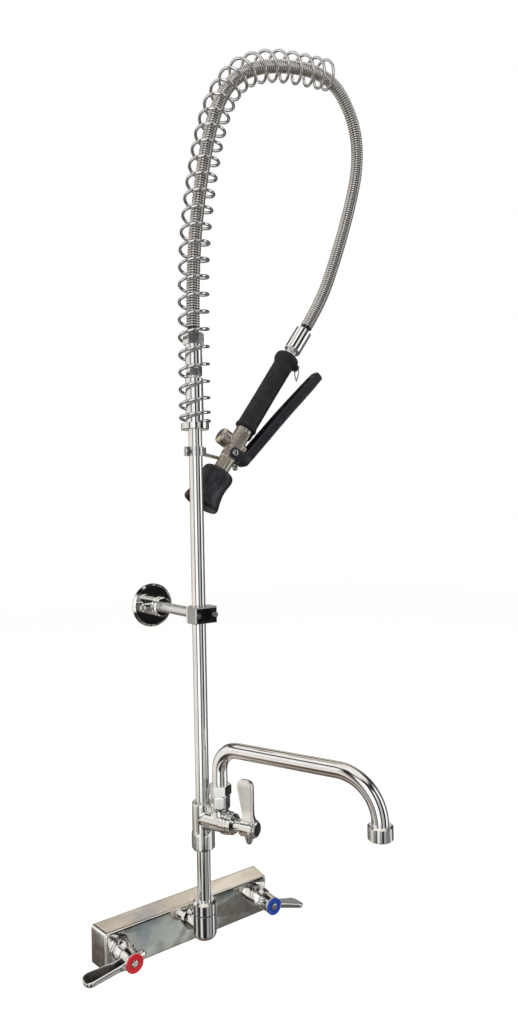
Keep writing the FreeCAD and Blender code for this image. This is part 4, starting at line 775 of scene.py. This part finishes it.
# %% [markdown]
# The chromes differ only in how far the metal was worked: tubes are bright and straight, turned fittings
# keep fine rings, castings are a little wavy, and the spray valve's body is nickel with a soft grain.

# %% Metal finishes


def chrome(name, colour, rough, wave, grain, edge):
    """Plated metal: roughness wanders between two values, with a slow wave and a fine grain in the surface."""
    material, tree, shader = new_finish(name, colour, 1.0, rough[0])
    tree.links.new(ranged(tree, noise_of(tree, 55, 4), *rough), shader.inputs["Roughness"])
    darker = tuple(part * 0.93 for part in colour)
    tinted(tree, noise_of(tree, 38, 3), [(noise_low, darker), (noise_high, colour)])
    waves, grains = (noise_of(tree, 42, 1), 0.0012, wave), (noise_of(tree, 900, 2), 0.00008, grain)
    bumped(tree, shader, [waves, grains], edge)
    return material


def base_colour_mix(material, factor_kind):
    """A mix that now feeds the base colour, the output that fed it before, and a node for the mix's factor."""
    tree = material.node_tree
    base = tree.nodes["Principled BSDF"].inputs["Base Color"]
    before = base.links[0].from_socket
    mixed, factor = tree.nodes.new("ShaderNodeMix"), tree.nodes.new(factor_kind)
    mixed.data_type = "RGBA"
    tree.links.new(mixed.outputs["Result"], base)
    return mixed, before, factor


def paint_groove_shade(material, attribute, colour):
    """Base colour goes to a dark one where the attribute falls to nothing: painted shade, standing in for the
    shade that falls in a groove.
    """
    mixed, before, read = base_colour_mix(material, "ShaderNodeAttribute")
    read.attribute_name = attribute
    mixed.inputs["A"].default_value = (*colour, 1)
    material.node_tree.links.new(read.outputs["Fac"], mixed.inputs["Factor"])
    material.node_tree.links.new(before, mixed.inputs["B"])


def paint_rim_shade(material, shade):
    """Base colour is multiplied down to the shade where the surface turns away: a painted dark rim that draws a
    thin wire.
    """
    mixed, before, away = base_colour_mix(material, "ShaderNodeLayerWeight")
    away.inputs["Blend"].default_value = 0.42
    mixed.blend_type = "MULTIPLY"
    mixed.inputs["B"].default_value = (shade, shade, shade, 1)
    material.node_tree.links.new(away.outputs["Facing"], mixed.inputs["Factor"])
    material.node_tree.links.new(before, mixed.inputs["A"])


tube_chrome = chrome("tube_chrome", (0.86, 0.855, 0.84), (0.035, 0.10), 0.035, 0.05, 0.0)
turned_chrome = chrome("turned_chrome", (0.84, 0.835, 0.82), (0.045, 0.12), 0.03, 0.08, 0.35)
cast_chrome = chrome("cast_chrome", (0.80, 0.80, 0.77), (0.06, 0.16), 0.12, 0.15, 0.0)
sheet_chrome = chrome("sheet_chrome", (0.84, 0.82, 0.78), (0.05, 0.16), 0.42, 0.06, 0.0)
satin_chrome = chrome("satin_chrome", (0.93, 0.93, 0.92), (0.38, 0.50), 0.02, 0.20, 0.3)
dark_chrome = chrome("dark_chrome", (0.36, 0.37, 0.35), (0.08, 0.16), 0.25, 0.25, 0.4)
nickel_cast = chrome("nickel_cast", (0.62, 0.56, 0.48), (0.30, 0.42), 0.10, 0.45, 0.0)
bright_steel = chrome("bright_steel", (0.74, 0.74, 0.73), (0.14, 0.26), 0.03, 0.30, 0.25)
spring_steel = chrome("spring_steel", (0.96, 0.96, 0.97), (0.04, 0.09), 0.02, 0.10, 0.0)
# painted shade: the spring wire's colour darkens towards its outline, a painted dark rim
paint_rim_shade(spring_steel, 0.12)
hose_steel = chrome("hose_steel", (0.86, 0.84, 0.80), (0.12, 0.22), 0.02, 0.15, 0.0)
# painted shade: the colour of the hose's grooves goes dark where the crest attribute falls to nothing
paint_groove_shade(hose_steel, "crest", (0.06, 0.055, 0.05))
brass = chrome("machined_brass", (0.72, 0.55, 0.27), (0.22, 0.36), 0.03, 0.30, 0.3)

sheet_tree = sheet_chrome.node_tree
tinted(sheet_tree, noise_of(sheet_tree, 19, 4), [(0.36, (0.62, 0.64, 0.70)), (0.44, (0.80, 0.77, 0.72)),
                                                 (0.55, (0.84, 0.80, 0.74)), (0.62, (0.95, 0.94, 0.90))])
print("metal finishes ready")

# %% [markdown]
# Rubber and coated metal scatter light in a thin layer. The grip has a fine moulded texture, the bumper
# is smoother and shows a soft blue-grey sheen, and the lever's powder coat has a slight orange peel.

# %% Rubber, coating and plastics


def moulded(name, colour, dusty, rough, grain_scale, grain):
    """A dark or coloured moulding: dust in the colour, wandering roughness and a fine surface grain."""
    material, tree, shader = new_finish(name, colour, 0.0, rough[0])
    tinted(tree, noise_of(tree, 70, 5), [(0.4, colour), (0.75, dusty)])
    tree.links.new(ranged(tree, noise_of(tree, 120, 4), *rough), shader.inputs["Roughness"])
    bumped(tree, shader, [(noise_of(tree, grain_scale, 2), 0.00025, grain)])
    return material


grip_rubber = moulded("grip_rubber", (0.010, 0.010, 0.011), (0.020, 0.020, 0.021), (0.60, 0.78), 1500, 0.9)
bumper_rubber = moulded("bumper_rubber", (0.014, 0.015, 0.021), (0.028, 0.030, 0.040), (0.30, 0.42), 700, 0.2)
lever_coat = moulded("lever_coat", (0.012, 0.013, 0.019), (0.020, 0.021, 0.029), (0.30, 0.42), 900, 0.30)
red_plastic = moulded("red_plastic", (0.70, 0.015, 0.030), (0.74, 0.03, 0.045), (0.25, 0.36), 600, 0.08)
blue_plastic = moulded("blue_plastic", (0.010, 0.060, 0.42), (0.016, 0.075, 0.46), (0.25, 0.36), 600, 0.08)
black_plastic = moulded("black_plastic", (0.020, 0.020, 0.021), (0.035, 0.035, 0.036), (0.40, 0.52), 800, 0.2)
grey_plastic = moulded("grey_plastic", (0.23, 0.24, 0.25), (0.28, 0.29, 0.30), (0.40, 0.50), 800, 0.2)
white_plastic = moulded("white_plastic", (0.70, 0.69, 0.72), (0.76, 0.76, 0.78), (0.35, 0.45), 800, 0.15)
seal_rubber = moulded("seal_rubber", (0.015, 0.015, 0.016), (0.03, 0.03, 0.03), (0.5, 0.6), 900, 0.3)

# %% Give every piece its finish
finishes = [
    (tube_chrome, ["riser_pipe", "lower_nipple", "swing_spout"]),
    (turned_chrome, ["outlet_elbow", "outlet_lock_nut", "valve_bonnets", "add_on_bonnet", "spout_nut",
                     "aerator_shell", "bracket_flange", "hose_adapter", "hose_nut", "hose_ferrule_lower",
                     "hose_ferrule_upper", "bracket_clamp", "hot_handle_screw", "cold_handle_screw",
                     "add_on_handle_screw", "spring_collar"]),
    (satin_chrome, ["bracket_arm", "hose_swivel"]),
    (dark_chrome, ["bracket_clamp_block"]),
    (bright_steel, ["bracket_clamp_screws", "bracket_set_screw", "bracket_wall_plate", "hold_down_ring",
                    "hook_band", "hook_bolt", "hook_finger", "plunger", "plunger_spring"]),
    (brass, ["waterway", "hot_stem", "cold_stem", "add_on_stem", "grip_core"]),
    (white_plastic, ["valve_cartridges"]),
    (grey_plastic, ["aerator_insert"]),
    (black_plastic, ["spray_face", "ring_clip"]),
    (seal_rubber, ["aerator_washer", "inlet_washers", "outlet_seal", "spout_seals"]),
]
for finish, names in finishes:
    for name in names:
        for place in nodes[name].material_slots:
            place.material = finish
made_pieces = [(hose, hose_steel), (spring, spring_steel), (bumper, bumper_rubber), (grip, grip_rubber),
               (lever, lever_coat), (screw, bright_steel), (hot_ring, red_plastic), (cold_ring, blue_plastic),
               (cover, sheet_chrome), (spray_casting, nickel_cast), (add_on_casting, cast_chrome)]
for piece, finish in made_pieces + [(blade, cast_chrome) for blade in blades]:
    piece.data.materials.append(finish)
dressed = {name for _, names in finishes for name in names}
hidden = {name for name, node in nodes.items() if node.hide_render}
print("undressed nodes:", sorted(set(nodes) - dressed - hidden))

# %% [markdown]
# ## Floor, light and room
# The photograph is cut out on white, so the camera sees a white room. Chrome needs more than white: it
# needs dark edges to draw its form. A product photographer sets black cards beside the table; here the
# room's light itself has these cards, as soft dark bands between bright panels, and a warm grey below.

# %% The room's light


def room():
    """World light by direction: white for the camera, bright panels with dark gaps for the object."""
    world = bpy.data.worlds.new("room")
    bpy.context.scene.world = world
    world.use_nodes = True
    tree = world.node_tree
    tree.nodes.clear()
    make, link = tree.nodes.new, tree.links.new
    direction = make("ShaderNodeTexCoord")
    parts = make("ShaderNodeSeparateXYZ")
    link(direction.outputs["Generated"], parts.inputs[0])

    def tone_of(*tone):
        """Three numbers are a colour. One is a grey, and a second one makes that grey warmer."""
        if len(tone) == 3:
            return tone
        level, warm = (*tone, 0.0)[:2]
        return (level * (1 + warm), level, level * (1 - warm))

    def feed(value, socket):
        """Another node's output is linked to the socket; a number or a colour is set on it."""
        if isinstance(value, bpy.types.NodeSocket):
            link(value, socket)
        else:
            socket.default_value = value

    def sum_of(kind, first, second):
        node = make("ShaderNodeMath")
        node.operation = kind
        feed(first, node.inputs[0])
        feed(second, node.inputs[1])
        return node.outputs[0]

    azimuth = sum_of("ARCTAN2", parts.outputs["Y"], parts.outputs["X"])
    turn = sum_of("ADD", sum_of("DIVIDE", azimuth, 2 * math.pi), 0.5)
    height = sum_of("ADD", sum_of("MULTIPLY", parts.outputs["Z"], 0.5), 0.5)

    def bands(value, stops):
        ramp = ramp_of(tree, value, [(place, tone_of(*tone)) for place, *tone in sorted(stops)])
        ramp.color_ramp.interpolation = "EASE"
        return ramp.outputs["Color"]

    def round_bands(stops):
        """Stops given as degrees from the user's right, towards the wall first, and a tone."""
        return bands(turn, [(((degrees + 180) % 360) / 360, *tone) for degrees, *tone in stops])

    def blend(kind, factor, first, second):
        mixed = make("ShaderNodeMix")
        mixed.data_type, mixed.blend_type = "RGBA", kind
        feed(factor, mixed.inputs["Factor"])
        feed(first, mixed.inputs["A"])
        feed(second, mixed.inputs["B"])
        return mixed.outputs["Result"]

    level_room = round_bands([(6, 0.04), (26, 0.10), (48, 0.34, 0.05), (58, 0.40, 0.06), (70, 0.05),
                              (90, 0.22, 0.08), (106, 0.70, 0.07), (140, 0.90, 0.05), (182, 0.78, 0.08),
                              (190, 0.10), (196, 0.10), (204, 1.3), (236, 1.3), (242, 0.01), (253, 0.01),
                              (260, 0.62), (280, 0.52), (288, 0.01), (306, 0.01), (314, 1.25), (334, 1.25),
                              (343, 0.02), (351, 0.03), (357, 0.40)])
    low_room = round_bands([(6, 0.03), (26, 0.08), (46, 0.56, 0.05), (62, 0.50, 0.07), (78, 0.10, 0.1),
                            (108, 0.07, 0.12), (130, 0.09, 0.12), (139, 0.70, 0.06), (153, 0.85, 0.05),
                            (162, 0.16, 0.35), (172, 0.04, 0.2), (191, 0.03), (200, 0.75), (212, 0.9),
                            (220, 0.03), (240, 0.015), (254, 0.05), (262, 0.45), (276, 0.36), (284, 0.07),
                            (291, 0.40, 0.44, 0.42), (299, 0.44, 0.49, 0.48), (305, 0.14, 0.13, 0.12),
                            (322, 0.10), (332, 0.95), (340, 0.95), (346, 0.03), (352, 0.04), (357, 0.35)])
    high_room = round_bands([(8, 0.06), (28, 0.60), (48, 0.74, 0.68, 0.59), (68, 0.70, 0.64, 0.56), (80, 0.05),
                             (100, 0.07), (114, 1.0), (150, 1.2), (180, 0.9), (188, 0.04), (198, 0.04),
                             (206, 1.35), (232, 1.35), (241, 0.02), (256, 0.02), (264, 1.05), (280, 0.85),
                             (288, 0.03), (308, 0.03), (316, 1.3), (334, 1.3), (346, 0.03)])
    below = bands(height, [(0.27, 0.0), (0.35, 1.0)])
    above = bands(height, [(0.60, 0.0), (0.70, 1.0)])
    sides = blend("MIX", above, blend("MIX", below, low_room, level_room), high_room)
    ground = bands(height, [(0.0, 1.0), (0.10, 0.6), (0.22, 0.0)])
    ceiling = bands(height, [(0.86, 0.0), (0.95, 1.0)])
    beam = bands(height, [(0.76, 1.0), (0.82, 0.10), (0.86, 0.10), (0.91, 1.0)])
    dark_ground, pale_ceiling = (0.17, 0.13, 0.10, 1), (1.05, 1.0, 0.93, 1)
    whole = blend("MIX", ceiling, blend("MIX", ground, sides, dark_ground), pale_ceiling)
    cloud = make("ShaderNodeTexNoise")
    cloud.inputs["Scale"].default_value = 3.4
    cloud.inputs["Detail"].default_value = 3.0
    link(direction.outputs["Generated"], cloud.inputs["Vector"])
    clouds = bands(cloud.outputs["Fac"], [(0.34, 0.80), (0.5, 0.97), (0.64, 1.08)])
    mixed_out = blend("MULTIPLY", 1.0, blend("MULTIPLY", 1.0, whole, beam), clouds)
    studio, white = make("ShaderNodeBackground"), make("ShaderNodeBackground")
    link(mixed_out, studio.inputs["Color"])
    white.inputs["Color"].default_value = (1, 1, 1, 1)
    path = make("ShaderNodeLightPath")
    chosen, output = make("ShaderNodeMixShader"), make("ShaderNodeOutputWorld")
    link(path.outputs["Is Camera Ray"], chosen.inputs["Fac"])
    link(studio.outputs["Background"], chosen.inputs[1])
    link(white.outputs["Background"], chosen.inputs[2])
    link(chosen.outputs["Shader"], output.inputs["Surface"])


room()

# %% Lamps and floor


def lamp(name, place, target, size, power):
    """A square area lamp at a place, facing a target, both in metres."""
    light = bpy.data.lights.new(name, "AREA")
    light.size, light.energy = size, power
    holder = bpy.data.objects.new(name, light)
    holder.location = place
    holder.visible_glossy = False
    holder.rotation_euler = (Vector(target) - Vector(place)).to_track_quat("-Z", "Y").to_euler()
    bpy.context.scene.collection.objects.link(holder)


lamp("key_lamp", (-1.6, -1.5, 2.2), (0.1, 0, 0.5), 1.1, 28)
lamp("fill_lamp", (1.9, -1.6, 1.4), (0.1, 0, 0.5), 1.4, 12)
lamp("back_lamp", (0.4, 2.2, 1.9), (0.1, 0, 0.6), 1.4, 10)


def pale_floor():
    """A wide plane under the faucet: white for the camera, grey in the light it sends up, unseen in metal."""
    size, level = 6.0, -0.36      # metres
    corners = [(-size, -size, level), (size, -size, level), (size, size, level), (-size, size, level)]
    mesh = bpy.data.meshes.new("floor")
    mesh.from_pydata(corners, [], [(0, 1, 2, 3)])
    floor = bpy.data.objects.new("floor", mesh)
    bpy.context.scene.collection.objects.link(floor)
    material = bpy.data.materials.new("pale_floor")
    material.use_nodes = True
    tree = material.node_tree
    tree.nodes.clear()
    make, link = tree.nodes.new, tree.links.new
    matt, glow, both = make("ShaderNodeBsdfDiffuse"), make("ShaderNodeEmission"), make("ShaderNodeAddShader")
    matt.inputs["Color"].default_value = (0.45, 0.45, 0.45, 1)
    glow.inputs["Strength"].default_value = 0.72
    path, chosen = make("ShaderNodeLightPath"), make("ShaderNodeMixShader")
    output = make("ShaderNodeOutputMaterial")
    link(matt.outputs[0], both.inputs[0])
    link(glow.outputs[0], both.inputs[1])
    link(path.outputs["Is Camera Ray"], chosen.inputs["Fac"])
    link(matt.outputs[0], chosen.inputs[1])
    link(both.outputs[0], chosen.inputs[2])
    link(chosen.outputs[0], output.inputs["Surface"])
    mesh.materials.append(material)
    floor.visible_glossy = False


pale_floor()
bpy.context.scene.view_settings.view_transform = "Standard"
print("room, lamps and floor ready")
